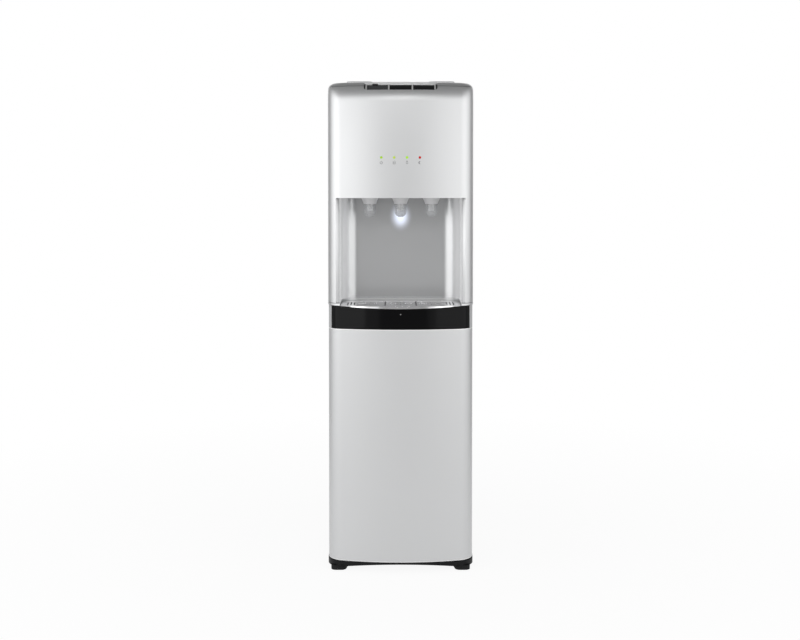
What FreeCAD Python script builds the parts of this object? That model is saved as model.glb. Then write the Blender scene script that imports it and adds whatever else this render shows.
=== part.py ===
import FreeCAD, Part
import math
import os

from FreeCAD import Vector

# Bottom load water cooler, in millimetres. +Z is up, +X is the right side seen from the front, and the front
# faces -Y. The origin is on the floor, under the middle of the machine.

# Overall size
WIDTH = 310.0
DEPTH = 360.0
HEIGHT = 1050.0
HALF = WIDTH / 2
FRONT = -DEPTH / 2
BACK = DEPTH / 2

# Heads of the stack, measured down from the highest point
PAD_RAISE = 2.5
HEAD_REAR_TOP = HEIGHT - PAD_RAISE
CROWN_RISE = 10.5
HEAD_FRONT_TOP = HEAD_REAR_TOP - CROWN_RISE

# Plan outline shared by the base, door, fascia and top cover: a wide front arc with round corners
FRONT_RADIUS = 500.0
CORNER_RADIUS = 40.0
BODY_BACK = BACK - 30.0
RETURN_BACK = FRONT + 75.0
SEAM = 0.8

# Walls and clearances
SHEET = 1.0
MOULD_WALL = 2.5
LINER_WALL = 2.2
GAP = 0.3
RUNNING_FIT = 0.05

# Base and feet
BASE_TOP = 20.0
BASE_EDGE = 7.6
BASE_ARCH_RISE = 7.0
BASE_ARCH_HALF = 110.0
BASE_WALL = 3.0
BASE_RIB_WIDE = 3.0
BASE_RIB_RAISE = 4.0
SOLE_ROUNDING = 3.0
FOOT_INNER_X = HALF - 44.0
FOOT_INSET = 4.5
REAR_FOOT_X = HALF - 30.0
REAR_FOOT_Y = BODY_BACK - 28.0
REAR_FOOT_RADIUS = 14.0
REAR_STUD_RADIUS = 4.0
REAR_FOOT_CHAMFER = 2.0
REAR_BOSS_WALL = 8.0

# Bottle door and its hinge
DOOR_INSET = 1.2
DOOR_TOP = 515.0
EAR_TOP = 563.4
NOTCH_HALF = HALF - 8.0
DOOR_BOTTOM = 20.8
HINGE_X = HALF - 10.0
HINGE_Y = FRONT + 65.0
PIN_RADIUS = 3.0
PIN_BITE = 12.0
BOSS_RADIUS = 6.2
HINGE_BOSS_TALL = 16.0
INNER_PANEL_INSET = 11.0
INNER_PANEL_LIP = 4.0
PANEL_WALL = 2.0
DOOR_GAP = 3.0
MAGNET_INSET = 6.5
MAGNET_WIDE = 6.0
MAGNET_LOW = 380.0
MAGNET_TALL = 30.0
STRIKE_THICK = 0.5

# Bottle bay
BAY_HALF = HALF - 8.0
BAY_FRONT = RETURN_BACK + 4.0
BAY_BACK = BODY_BACK - 38.0
BAY_WALL = 2.0
DECK_Z = 516.0
DECK_THICK = 1.5
DECK_FLANGE = 12.0
PIN_HEAD_TALL = 2.0

# Drip tray, grille and shelf
SHELF_Z = 564.2
SHELF_THICK = 4.4
POCKET_HALF = HALF - 26.5
POCKET_BACK = FRONT + 139.0
POCKET_RADIUS = 36.0
SHELF_BEHIND = 22.0
CHANNEL_STAND_OFF = 2.3
TRAY_CLEAR = 1.2
TRAY_WALL = 2.0
TRAY_FLOOR_Z = 518.0
TRAY_TOP = 558.5
TRAY_FRONT_HALF = NOTCH_HALF - SEAM
TRAY_LIP_Z = 551.0
TRAY_LIP_DEEP = 0.7
MARKER_DROP = 3.5
MARKER_RADIUS = 1.3
MARKER_PROUD = 0.2
GRILLE_RIM = 2.4
GRILLE_RIM_TALL = 5.2
GRILLE_PLATE = 1.8
SUN_SLOTS = 16
SUN_INNER = 9.0
SUN_OUTER = 25.0
SUN_SLOT_WIDE = 2.4
STRAIGHT_SLOTS = (
    (33.0, 44.0),
    (POCKET_HALF - 29.5, 30.0),
    (POCKET_HALF - 22.5, 34.0),
    (POCKET_HALF - 15.5, 30.0),
)
REAR_SLOT_Y = FRONT + 101.0
REAR_SLOT_ROWS = 3
REAR_SLOT_PITCH = 8.0
REAR_SLOT_LONG = 14.0
REAR_SLOT_SPACING = 42.0

# Dispensing niche and taps
NICHE_HALF = HALF - 25.0
NICHE_TOP = 792.0
NICHE_BACK = FRONT + 140.0
NICHE_RADIUS = 37.0
NICHE_FRONT = FRONT + 33.0
BEVEL_HALF = HALF - 18.0
BEVEL_DEEP = 4.5
CEILING_THICK = 2.5
CEILING_LIP = 6.0
LINER_FOOT_TALL = 2.5
LINER_FOOT_STEP = 1.3
TAP_PITCH = 66.0
TAP_Y = FRONT + 65.0
CONE_TOP_RADIUS = 18.4
CONE_END_RADIUS = 13.5
CONE_END_Z = 776.4
SLEEVE_RADIUS = 12.8
SLEEVE_WALL = 1.4
SLEEVE_END_Z = 750.6
SLEEVE_MOUTH = 5.0
NOZZLE_RADIUS = 6.4
NOZZLE_BORE = 3.5
NOZZLE_END_Z = 764.0
SOCKET_DEEP = 9.0
SPIGOT_RADIUS = 7.8
LIGHT_Z = 756.0
LIGHT_RADIUS = 8.0

# Head: fascia, top cover, keys
FASCIA_BOTTOM = 569.6
FASCIA_TOP = HEAD_FRONT_TOP - 9.4
HEAD_FLAT_END = RETURN_BACK + 20.0
HEAD_RISE_END = BODY_BACK - 90.0
HEAD_ROUNDING = 28.0
CROWN_HALF = HALF - HEAD_ROUNDING - 1.0
CROWN_TOP_HALF = CROWN_HALF - 6.0
SIDE_TOP = HEAD_FRONT_TOP - 20.8
PAD_INNER_X = 62.0
PAD_OUTER_X = CROWN_TOP_HALF - 1.0
PAD_FRONT_Y = FRONT + 140.0
PAD_BACK_Y = BODY_BACK - 50.0
PAD_CORNER = 12.0
KEYS_HALF = 77.4
KEYS_BACK = FRONT + 73.0
KEYS_BOTTOM = HEAD_FRONT_TOP - 19.6
BEZEL_DEEP = 14.0
BEZEL_BACK_WALL = 5.0
DIVIDER_WIDE = 3.0
DIVIDER_OUTER = 72.8
DIVIDER_INNER = 24.9
KEY_INSET = 3.2
KEY_WALL = 2.2
AXLE_Y = FRONT + 62.0
AXLE_Z = HEAD_FRONT_TOP - 10.5
AXLE_RADIUS = 2.0
BARREL_RADIUS = 4.4
ROD_Y = FRONT + 35.0
ROD_RADIUS = 2.5
ROD_CAP_RADIUS = 5.0
ROD_CAP_THICK = 2.7
ROD_TOP = HEAD_FRONT_TOP - 25.3
KEY_FOOT_RADIUS = 3.0
LOCK_X = -53.5
LOCK_Y = FRONT + 34.0
LOCK_WIDE = 12.0
LOCK_LONG = 9.0
LOCK_TALL = 3.6
LOCK_STEM = 4.0
LOCK_FOOT = 2.0
LOCK_TRAVEL = 5.0

# Lamps and boards
LAMP_Z = 877.0
LAMP_PITCH = 26.9
LAMP_RADIUS = 2.6
BOARD_FRONT = FRONT + 9.0
BOARD_THICK = 1.6
LAMP_BOARD_HALF_TALL = 14.0
POST_RADIUS = 3.0
POWER_BOARD_FRONT = FRONT + 180.0
POWER_BOARD_LONG = 90.0
POWER_BOARD_LOW = 640.0
POWER_BOARD_TALL = 120.0
POWER_BOARD_POST = 6.0
TRANSFORMER_DEEP = 25.0
HEAT_SINK_DEEP = 15.0

# Tank deck, tanks, valves
VALVE_TOP = 838.0
VALVE_RADIUS = 12.0
BARB_Z = 815.0
BARB_RADIUS = 4.0
BARB_REACH = 12.0
VALVE_SHOULDER = 8.0
TANK_DECK_Z = 806.0
TANK_HEADROOM = 66.0
COLD_X = HALF - 81.0
COLD_Y = BODY_BACK - 92.0
COLD_RADIUS = 55.0
COLD_TALL = HEAD_FRONT_TOP - TANK_HEADROOM - TANK_DECK_Z
FOAM_WALL = 15.0
HOT_X = 75.0 - HALF
HOT_Y = BODY_BACK - 90.0
HOT_RADIUS = 45.0
HOT_TALL = COLD_TALL - 20.0
TANK_LIFT = 7.5
HOT_BAND_TALL = 15.0
TUBE_RADIUS = 5.0

# Machine compartment
COMPRESSOR_X = -30.0
COMPRESSOR_Y = (NICHE_BACK + SHELF_BEHIND + BODY_BACK) / 2
COMPRESSOR_RADIUS = 58.0
COMPRESSOR_TALL = 134.0
GROMMET_TALL = 8.5
GROMMET_RADIUS = 9.0
PUMP_X = HALF - 60.0
PUMP_Y = BODY_BACK - 110.0
PUMP_RADIUS = 19.0
PUMP_MOTOR_TALL = 52.0
PUMP_HEAD_TALL = 26.0
DRIER_RADIUS = 9.0
DRIER_LONG = 70.0

# Probe that draws the water out of the bottle
PROBE_X = HALF - 24.0
PROBE_Y = BAY_BACK - 17.0
PROBE_CAP_Z = 440.0
PROBE_END_Z = 40.0
PROBE_RADIUS = 5.0
CAP_RADIUS = 13.0
CAP_TALL = 14.0
HANGER_THICK = 4.0
PROBE_STUB = 10.0
HOSE_RADIUS = 5.0
HOSE_WALL = 1.8
HOSE_ABOVE = 30.0

# Back of the machine
BACK_SKIN = BODY_BACK - SHEET - 0.1
BACK_SPLIT = 516.8
FLANGE = 13.0
RIB_LOW = 60.0
RIB_HIGH = 470.0
RIB_WIDE = 12.0
RIB_DEEP = 3.0
RIB_X = 62.0
VENT_LOW = 680.0
VENT_ROWS = 9
VENT_PITCH = 11.0
VENT_LONG = 56.0
VENT_TALL = 4.0
VENT_SPACING = 70.0
CONDENSER_BACK = BACK
COIL_RADIUS = 2.4
COIL_PITCH = 46.0
COIL_PASSES = 12
COIL_Z = 140.0
COIL_HALF = 100.0
WIRE = 1.4
WIRE_COUNT = 29
BRACKET_WIDE = 9.0
SWITCH_Z = SIDE_TOP - 86.2
SWITCH_PITCH = 24.0
SWITCH_MIDDLE_X = -84.0
SWITCH_HALF_WIDE = 8.0
SWITCH_HALF_TALL = 12.0
SWITCH_DEEP = 18.0
SWITCH_FRAME = 2.0
ROCKER_HALF_WIDE = 6.0
ROCKER_HALF_TALL = 9.6
ROCKER_PIVOT = 4.0
ROCKER_TILT = 8.0
DRAIN_Z = TANK_DECK_Z + 24.0
DRAIN_RADIUS = 6.0
DRAIN_REACH = 9.0
DRAIN_CAP_RADIUS = 11.4
DRAIN_CAP_LONG = 12.0
DRAIN_CAP_RIBS = 12
SCREW_X = HALF - 6.0
SCREW_RADIUS = 1.7
SCREW_HOLE = 1.8
GLAND_X = HALF - 35.0
GLAND_Z = 545.0
GLAND_RADIUS = 7.0
GLAND_BORE = 4.0
GLAND_FLANGE = 10.0

TAPS = {"hot": -TAP_PITCH, "room": 0.0, "cold": TAP_PITCH}
SCREW_ROWS = (60.0, 270.0, 480.0, 560.0, 760.0, SIDE_TOP - 31.2)


def box(x0, x1, y0, y1, z0, z1):
    """A box between two corners."""
    return Part.makeBox(x1 - x0, y1 - y0, z1 - z0, Vector(x0, y0, z0))


def rod_z(x, y, z0, z1, radius):
    """An upright round bar from z0 to z1."""
    return Part.makeCylinder(radius, z1 - z0, Vector(x, y, z0))


def rod_y(x, z, y0, y1, radius):
    """A round bar that runs front to back."""
    return Part.makeCylinder(radius, y1 - y0, Vector(x, y0, z), Vector(0, 1, 0))


def rod_x(y, z, x0, x1, radius):
    """A round bar that runs from side to side."""
    return Part.makeCylinder(radius, x1 - x0, Vector(x0, y, z), Vector(1, 0, 0))


def turned(points, x, y):
    """A solid turned about the upright line at x, y, from its half profile of (radius, height) points."""
    corners = [Vector(r, 0, z) for r, z in points]
    face = Part.Face(Part.makePolygon(corners + corners[:1]))
    solid = face.revolve(Vector(0, 0, 0), Vector(0, 0, 1), 360)
    solid.translate(Vector(x, y, 0))
    return solid


def prism(points, z0, z1):
    """An upright prism on a plan polygon."""
    corners = [Vector(x, y, z0) for x, y in points]
    return Part.Face(Part.makePolygon(corners + corners[:1])).extrude(Vector(0, 0, z1 - z0))


def corner_centre():
    """Centre of the right front corner arc, which touches the front arc from inside."""
    x = HALF - CORNER_RADIUS
    rise = math.sqrt((FRONT_RADIUS - CORNER_RADIUS) ** 2 - x * x)
    return x, FRONT + FRONT_RADIUS - rise


def outline_y(x, inset):
    """Front of the plan outline at a distance x from the middle."""
    cx, cy = corner_centre()
    join_x = cx * (FRONT_RADIUS - inset) / (FRONT_RADIUS - CORNER_RADIUS)
    if abs(x) <= join_x:
        return FRONT + FRONT_RADIUS - math.sqrt((FRONT_RADIUS - inset) ** 2 - x * x)
    return cy - math.sqrt((CORNER_RADIUS - inset) ** 2 - (abs(x) - cx) ** 2)


def outline(inset, back, z0, z1):
    """The plan outline, drawn in by inset, as a solid from z0 to z1 that ends at back."""
    cx, cy = corner_centre()
    side = HALF - inset
    centre_y = FRONT + FRONT_RADIUS
    share = (FRONT_RADIUS - inset) / (FRONT_RADIUS - CORNER_RADIUS)
    join_x = cx * share
    join_y = centre_y + (cy - centre_y) * share
    half_turn = math.atan2(join_y - cy, join_x - cx) / 2
    mid_x = cx + (CORNER_RADIUS - inset) * math.cos(half_turn)
    mid_y = cy + (CORNER_RADIUS - inset) * math.sin(half_turn)

    def at(x, y):
        return Vector(x, y, z0)

    edges = [
        Part.Arc(at(-join_x, join_y), at(0, FRONT + inset), at(join_x, join_y)).toShape(),
        Part.Arc(at(join_x, join_y), at(mid_x, mid_y), at(side, cy)).toShape(),
        Part.LineSegment(at(side, cy), at(side, back)).toShape(),
        Part.LineSegment(at(side, back), at(-side, back)).toShape(),
        Part.LineSegment(at(-side, back), at(-side, cy)).toShape(),
        Part.Arc(at(-side, cy), at(-mid_x, mid_y), at(-join_x, join_y)).toShape(),
    ]
    return Part.Face(Part.Wire(edges)).extrude(Vector(0, 0, z1 - z0))


def bay_outline(half, front, back, radius, z0, z1):
    """A recess in plan: straight sides, round back corners, flat back, open front line."""
    def at(x, y):
        return Vector(x, y, z0)

    bend = radius * (1 - math.sqrt(0.5))
    edges = [
        Part.LineSegment(at(-half, front), at(half, front)).toShape(),
        Part.LineSegment(at(half, front), at(half, back - radius)).toShape(),
        Part.Arc(at(half, back - radius), at(half - bend, back - bend), at(half - radius, back)).toShape(),
        Part.LineSegment(at(half - radius, back), at(radius - half, back)).toShape(),
        Part.Arc(at(radius - half, back), at(bend - half, back - bend), at(-half, back - radius)).toShape(),
        Part.LineSegment(at(-half, back - radius), at(-half, front)).toShape(),
    ]
    return Part.Face(Part.Wire(edges)).extrude(Vector(0, 0, z1 - z0))


def head(inset):
    """Outer form of the head, drawn in by inset: round edges, and a crown that rises to the rear."""
    top = HEAD_FRONT_TOP - inset
    crest = HEAD_REAR_TOP - inset
    back = BODY_BACK - inset
    body = outline(inset, back, FASCIA_BOTTOM, top)
    rim = [e for e in body.Edges if e.BoundBox.ZMin > top - GAP and e.BoundBox.YMin < RETURN_BACK]
    body = body.makeFillet(HEAD_ROUNDING - inset, rim)
    foot = top - 1
    rise = [(HEAD_FLAT_END, foot), (HEAD_FLAT_END, top), (HEAD_RISE_END, crest), (back, crest), (back, foot)]
    corners = [Vector(-HALF, y, z) for y, z in rise]
    crown = Part.Face(Part.makePolygon(corners + corners[:1])).extrude(Vector(WIDTH, 0, 0))
    wide = CROWN_HALF - inset
    flat = CROWN_TOP_HALF - inset
    section = [(-wide, foot), (-wide, top), (-flat, crest), (flat, crest), (wide, top), (wide, foot)]
    corners = [Vector(x, HEAD_FLAT_END, z) for x, z in section]
    flanks = Part.Face(Part.makePolygon(corners + corners[:1])).extrude(Vector(0, DEPTH, 0))
    return body.fuse(crown.common(flanks)).removeSplitter()


def key_opening():
    """Room for the key bezel in the fascia and the top cover."""
    half = KEYS_HALF + GAP
    return box(-half, half, FRONT - 1, KEYS_BACK + GAP, KEYS_BOTTOM - GAP, HEIGHT)


def make_base_pan():
    """Black moulded base: a skirt with an arched front edge, a floor, bosses for the feet and two ribs."""
    pan = outline(0, BODY_BACK, BASE_EDGE, BASE_TOP)
    floor_z = BASE_TOP - BASE_WALL
    pan = pan.cut(outline(BASE_WALL, BODY_BACK - BASE_WALL, BASE_EDGE - 1, floor_z))
    radius = (BASE_ARCH_HALF ** 2 + BASE_ARCH_RISE ** 2) / (2 * BASE_ARCH_RISE)
    arch_z = BASE_EDGE + BASE_ARCH_RISE - radius
    pan = pan.cut(rod_y(0, arch_z, FRONT - 1, RETURN_BACK, radius))
    inside = outline(BASE_WALL / 2, BODY_BACK, BASE_EDGE, floor_z)
    for side in (-1, 1):
        near, far = sorted((side * (FOOT_INNER_X + GAP), side * HALF))
        pan = pan.fuse(inside.common(box(near, far, FRONT, RETURN_BACK, BASE_EDGE, floor_z)))
        boss_radius = REAR_STUD_RADIUS + REAR_BOSS_WALL
        pan = pan.fuse(rod_z(side * REAR_FOOT_X, REAR_FOOT_Y, BASE_EDGE, floor_z, boss_radius))
        rib_x = side * FOOT_INNER_X / 2
        rib_low = BASE_EDGE + BASE_RIB_RAISE
        rib = box(rib_x, rib_x + BASE_RIB_WIDE, RETURN_BACK, BODY_BACK - BASE_WALL, rib_low, floor_z)
        pan = pan.fuse(rib)
    for side in (-1, 1):
        stud_hole = REAR_STUD_RADIUS + GAP / 2
        pan = pan.cut(rod_z(side * REAR_FOOT_X, REAR_FOOT_Y, 0, floor_z, stud_hole))
    return pan.cut(rod_z(HINGE_X, HINGE_Y, floor_z - PIN_BITE, BASE_TOP, PIN_RADIUS + RUNNING_FIT))


def make_front_feet():
    """Two moulded feet that follow the front corners of the base, rounded at the floor."""
    feet = []
    for side in (-1, 1):
        near, far = sorted((side * FOOT_INNER_X, side * HALF))
        foot = outline(FOOT_INSET, RETURN_BACK - SEAM, 0, BASE_EDGE).common(
            box(near, far, FRONT, RETURN_BACK - SEAM, 0, BASE_EDGE))
        sole = [e for e in foot.Edges if e.BoundBox.ZMax < 0.01]
        feet.append(foot.makeFillet(SOLE_ROUNDING, sole))
    return Part.makeCompound(feet)


def make_rear_feet():
    """Two screw feet that level the machine."""
    disc_top = BASE_EDGE - GAP
    stud_top = BASE_TOP - BASE_WALL - GAP
    rim = REAR_FOOT_RADIUS - REAR_FOOT_CHAMFER
    profile = [
        (0, 0), (rim, 0), (REAR_FOOT_RADIUS, REAR_FOOT_CHAMFER),
        (REAR_FOOT_RADIUS, disc_top - REAR_FOOT_CHAMFER), (rim, disc_top), (REAR_STUD_RADIUS, disc_top),
        (REAR_STUD_RADIUS, stud_top), (0, stud_top),
    ]
    return Part.makeCompound([turned(profile, side * REAR_FOOT_X, REAR_FOOT_Y) for side in (-1, 1)])


def make_door_shell():
    """Convex bottle door: a thin moulding open to the rear, with a notch for the tray and two thin ears."""
    outer = outline(DOOR_INSET, RETURN_BACK, DOOR_BOTTOM, EAR_TOP)
    wall = DOOR_INSET + MOULD_WALL
    inner = outline(wall, RETURN_BACK + 1, DOOR_BOTTOM + MOULD_WALL, DOOR_TOP - MOULD_WALL)
    above = outline(wall, RETURN_BACK + 1, DOOR_TOP, EAR_TOP + 1)
    door = outer.cut(inner).cut(above)
    door = door.cut(box(-NOTCH_HALF, NOTCH_HALF, FRONT, RETURN_BACK + 1, DOOR_TOP, EAR_TOP + 1))
    for low in (DOOR_BOTTOM, DOOR_TOP - HINGE_BOSS_TALL):
        door = door.fuse(rod_z(HINGE_X, HINGE_Y, low, low + HINGE_BOSS_TALL, BOSS_RADIUS))
    for low in (DOOR_BOTTOM - 1, DOOR_TOP - PIN_BITE):
        door = door.cut(rod_z(HINGE_X, HINGE_Y, low, low + PIN_BITE + 2, PIN_RADIUS + RUNNING_FIT))
    return door


def make_door_inner_panel():
    """Tub-shaped liner of the door, hollow towards the bottle, with a flange that closes the shell."""
    low = DOOR_BOTTOM + MOULD_WALL + GAP
    high = DOOR_TOP - MOULD_WALL - GAP
    back = BAY_FRONT - DOOR_GAP * 2
    tub_low = low + INNER_PANEL_LIP
    tub_high = high - INNER_PANEL_LIP
    well = INNER_PANEL_INSET + PANEL_WALL
    tub = outline(INNER_PANEL_INSET, back, tub_low, tub_high)
    tub = tub.cut(outline(well, back + 1, tub_low + PANEL_WALL, tub_high - PANEL_WALL))
    edge = HALF - DOOR_INSET - MOULD_WALL - GAP
    mouth = HALF - well
    frame = box(-edge, edge, back - PANEL_WALL, back, low, high)
    frame = frame.cut(box(-mouth, mouth, FRONT, back + 1, tub_low + PANEL_WALL, tub_high - PANEL_WALL))
    panel = tub.fuse(frame)
    for boss_low in (DOOR_BOTTOM, DOOR_TOP - HINGE_BOSS_TALL):
        high_z = boss_low + HINGE_BOSS_TALL + 1
        panel = panel.cut(rod_z(HINGE_X, HINGE_Y, boss_low - 1, high_z, BOSS_RADIUS + GAP))
    return panel


def make_hinge_pins():
    """Door pins: one stands in the base, the other hangs from the deck."""
    head_radius = BOSS_RADIUS - 1
    head_z = DECK_Z + DECK_THICK
    low = rod_z(HINGE_X, HINGE_Y, BASE_TOP - BASE_WALL, DOOR_BOTTOM + PIN_BITE, PIN_RADIUS)
    low = low.fuse(rod_z(HINGE_X, HINGE_Y, BASE_TOP, DOOR_BOTTOM - GAP, head_radius))
    high = rod_z(HINGE_X, HINGE_Y, DOOR_TOP - PIN_BITE + GAP, head_z + PIN_HEAD_TALL, PIN_RADIUS)
    high = high.fuse(rod_z(HINGE_X, HINGE_Y, head_z, head_z + PIN_HEAD_TALL, head_radius))
    return Part.makeCompound([low, high])


def make_door_magnet():
    """Magnetic catch on the rim of the bay."""
    near = MAGNET_INSET - HALF
    return box(near, near + MAGNET_WIDE, BAY_FRONT - DOOR_GAP * 2 + STRIKE_THICK + GAP, BAY_FRONT,
               MAGNET_LOW, MAGNET_LOW + MAGNET_TALL)


def make_catch_strike():
    """Steel strike on the door, facing the magnet."""
    near = MAGNET_INSET - HALF
    back = BAY_FRONT - DOOR_GAP * 2
    return box(near, near + MAGNET_WIDE, back, back + STRIKE_THICK, MAGNET_LOW, MAGNET_LOW + MAGNET_TALL)


def make_bottle_bay():
    """Moulded liner of the bottle bay, with a front rim and a fork that the probe hangs in."""
    top = DECK_Z - GAP
    out = BAY_HALF + BAY_WALL
    bay = box(-out, out, BAY_FRONT, BAY_BACK + BAY_WALL, BASE_TOP, top)
    bay = bay.cut(box(-BAY_HALF, BAY_HALF, BAY_FRONT - 1, BAY_BACK, BASE_TOP + BAY_WALL, top + 1))
    rim_x = HALF - SHEET - GAP
    rim_back = BAY_FRONT + BAY_WALL
    rim = box(-rim_x, rim_x, BAY_FRONT, rim_back, BASE_TOP, top)
    rim = rim.cut(box(-BAY_HALF, BAY_HALF, BAY_FRONT - 1, rim_back + 1, BASE_TOP + BAY_WALL, top + 1))
    bay = bay.fuse(rim)
    low = PROBE_CAP_Z - CAP_TALL - GAP - HANGER_THICK
    high = low + HANGER_THICK
    tip_y = PROBE_Y - CAP_RADIUS + HANGER_THICK
    fork = box(PROBE_X - CAP_RADIUS, PROBE_X + CAP_RADIUS, tip_y, BAY_BACK + 1, low, high)
    throat = PROBE_RADIUS + 1
    fork = fork.cut(rod_z(PROBE_X, PROBE_Y, low - 1, high + 1, throat))
    return bay.fuse(fork.cut(box(PROBE_X - throat, PROBE_X + throat, FRONT, PROBE_Y, low - 1, high + 1)))


def make_mid_deck():
    """Steel deck over the bottle bay. It carries the tray, pump and compressor, and holds the top pin."""
    top = DECK_Z + DECK_THICK
    edge = HALF - SHEET - GAP
    deck = box(-edge, edge, BAY_FRONT, BACK_SKIN - SHEET - GAP, DECK_Z, top)
    nose_x = POCKET_HALF + CHANNEL_STAND_OFF + TRAY_WALL
    nose = outline(MOULD_WALL * 4, BAY_FRONT, DECK_Z, top)
    nose = nose.common(box(-nose_x, nose_x, FRONT, BAY_FRONT, DECK_Z, top))
    deck = deck.fuse(nose)
    tongue_half = BOSS_RADIUS - 1
    tongue = box(nose_x - 1, HINGE_X, HINGE_Y - tongue_half, HINGE_Y + tongue_half, DECK_Z, top)
    deck = deck.fuse(tongue).fuse(rod_z(HINGE_X, HINGE_Y, DECK_Z, top, tongue_half))
    for side in (-1, 1):
        near, far = sorted((side * edge, side * (edge - SHEET)))
        deck = deck.fuse(box(near, far, BAY_FRONT, BACK_SKIN - SHEET - GAP, DECK_Z, top + DECK_FLANGE))
    deck = deck.cut(rod_z(HINGE_X, HINGE_Y, DECK_Z - 1, top + 1, PIN_RADIUS + RUNNING_FIT))
    return deck.cut(rod_z(PROBE_X, PROBE_Y, DECK_Z - 1, top + 1, HOSE_RADIUS + GAP))


def make_tray_shelf():
    """Silver shelf round the tray, with the channel walls that stand on the deck and guide the tray."""
    top = SHELF_Z + SHELF_THICK
    back = NICHE_BACK + SHELF_BEHIND
    edge = HALF - SHEET - GAP
    shelf = outline(0, RETURN_BACK + SEAM, SHELF_Z, top)
    shelf = shelf.fuse(box(-edge, edge, RETURN_BACK, back, SHELF_Z, top))
    pocket = bay_outline(POCKET_HALF, FRONT - 1, POCKET_BACK, POCKET_RADIUS, SHELF_Z - 1, top + 1)
    shelf = shelf.cut(pocket)
    floor = DECK_Z + DECK_THICK
    near = POCKET_HALF + CHANNEL_STAND_OFF
    far = near + TRAY_WALL
    channel = box(-far, far, NICHE_FRONT, NICHE_BACK + TRAY_WALL, floor, SHELF_Z)
    return shelf.fuse(channel.cut(box(-near, near, NICHE_FRONT - 1, NICHE_BACK, floor - 1, SHELF_Z + 1)))


def tray_plan(shrink, front_inset, z0, z1):
    """Plan of the tray and grille: the shelf's pocket with a clearance, closed by the front arc."""
    plan = bay_outline(POCKET_HALF - shrink, FRONT - 1, POCKET_BACK - shrink, POCKET_RADIUS - shrink, z0, z1)
    return plan.common(outline(front_inset, BODY_BACK, z0, z1))


def make_drip_tray():
    """Drip basin that slides on the deck."""
    front = MOULD_WALL + SEAM
    floor = TRAY_FLOOR_Z + TRAY_WALL
    basin = tray_plan(TRAY_CLEAR, front, TRAY_FLOOR_Z, TRAY_TOP)
    return basin.cut(tray_plan(TRAY_CLEAR + TRAY_WALL, front + TRAY_WALL, floor, TRAY_TOP + 1))


def make_tray_front():
    """Glossy black front of the tray, curved with the door, with a fine step under its top."""
    low = DOOR_TOP + SEAM
    high = SHELF_Z - SEAM
    skin = SEAM / 4
    front = outline(skin, BODY_BACK, low, high)
    front = front.cut(outline(MOULD_WALL + SEAM, BODY_BACK + 1, low - 1, high + 1))
    front = front.common(box(-TRAY_FRONT_HALF, TRAY_FRONT_HALF, FRONT, RETURN_BACK, low, high))
    front = front.cut(box(-POCKET_HALF, POCKET_HALF, FRONT, 0, TRAY_TOP, high + 1))
    step_x = POCKET_HALF - 4
    step = outline(-1, BODY_BACK, TRAY_LIP_Z, TRAY_TOP + 1).cut(
        outline(skin + TRAY_LIP_DEEP, BODY_BACK + 1, TRAY_LIP_Z - 1, TRAY_TOP + 2))
    return front.cut(step.common(box(-step_x, step_x, FRONT - 2, 0, TRAY_LIP_Z, TRAY_TOP + 1)))


def make_tray_marker():
    """Small grey dot in the middle of the tray front, under the step."""
    face_y = outline_y(0, 0)
    return rod_y(0, TRAY_LIP_Z - MARKER_DROP, face_y, face_y + MARKER_PROUD, MARKER_RADIUS)


def make_drip_grille():
    """Chrome grille: a rim, and a plate with three sunburst rings under the taps and slots between them."""
    low = TRAY_TOP + GAP
    top = low + GRILLE_RIM_TALL
    plate_z = top - GRILLE_PLATE
    rim_inset = SEAM
    grille = tray_plan(SEAM, rim_inset, low, top)
    grille = grille.cut(tray_plan(SEAM + GRILLE_RIM, rim_inset + GRILLE_RIM, low - 1, plate_z))
    cutters = []
    for x in TAPS.values():
        for turn in range(SUN_SLOTS):
            slot = box(SUN_INNER, SUN_OUTER, -SUN_SLOT_WIDE / 2, SUN_SLOT_WIDE / 2, plate_z - 1, top + 1)
            slot.rotate(Vector(0, 0, 0), Vector(0, 0, 1), 360 * turn / SUN_SLOTS)
            slot.translate(Vector(x, TAP_Y, 0))
            cutters.append(slot)
    for side in (-1, 1):
        for x, reach in STRAIGHT_SLOTS:
            low_x = side * x - SUN_SLOT_WIDE / 2
            high_x = low_x + SUN_SLOT_WIDE
            cutters.append(box(low_x, high_x, TAP_Y - reach, TAP_Y + reach, plate_z - 1, top + 1))
    half = REAR_SLOT_LONG / 2
    for row in range(REAR_SLOT_ROWS):
        y = REAR_SLOT_Y + REAR_SLOT_PITCH * row
        for column in range(-2, 3):
            x = column * REAR_SLOT_SPACING
            cutters.append(box(x - half, x + half, y, y + SUN_SLOT_WIDE, plate_z - 1, top + 1))
    return grille.cut(Part.makeCompound(cutters))


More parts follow.
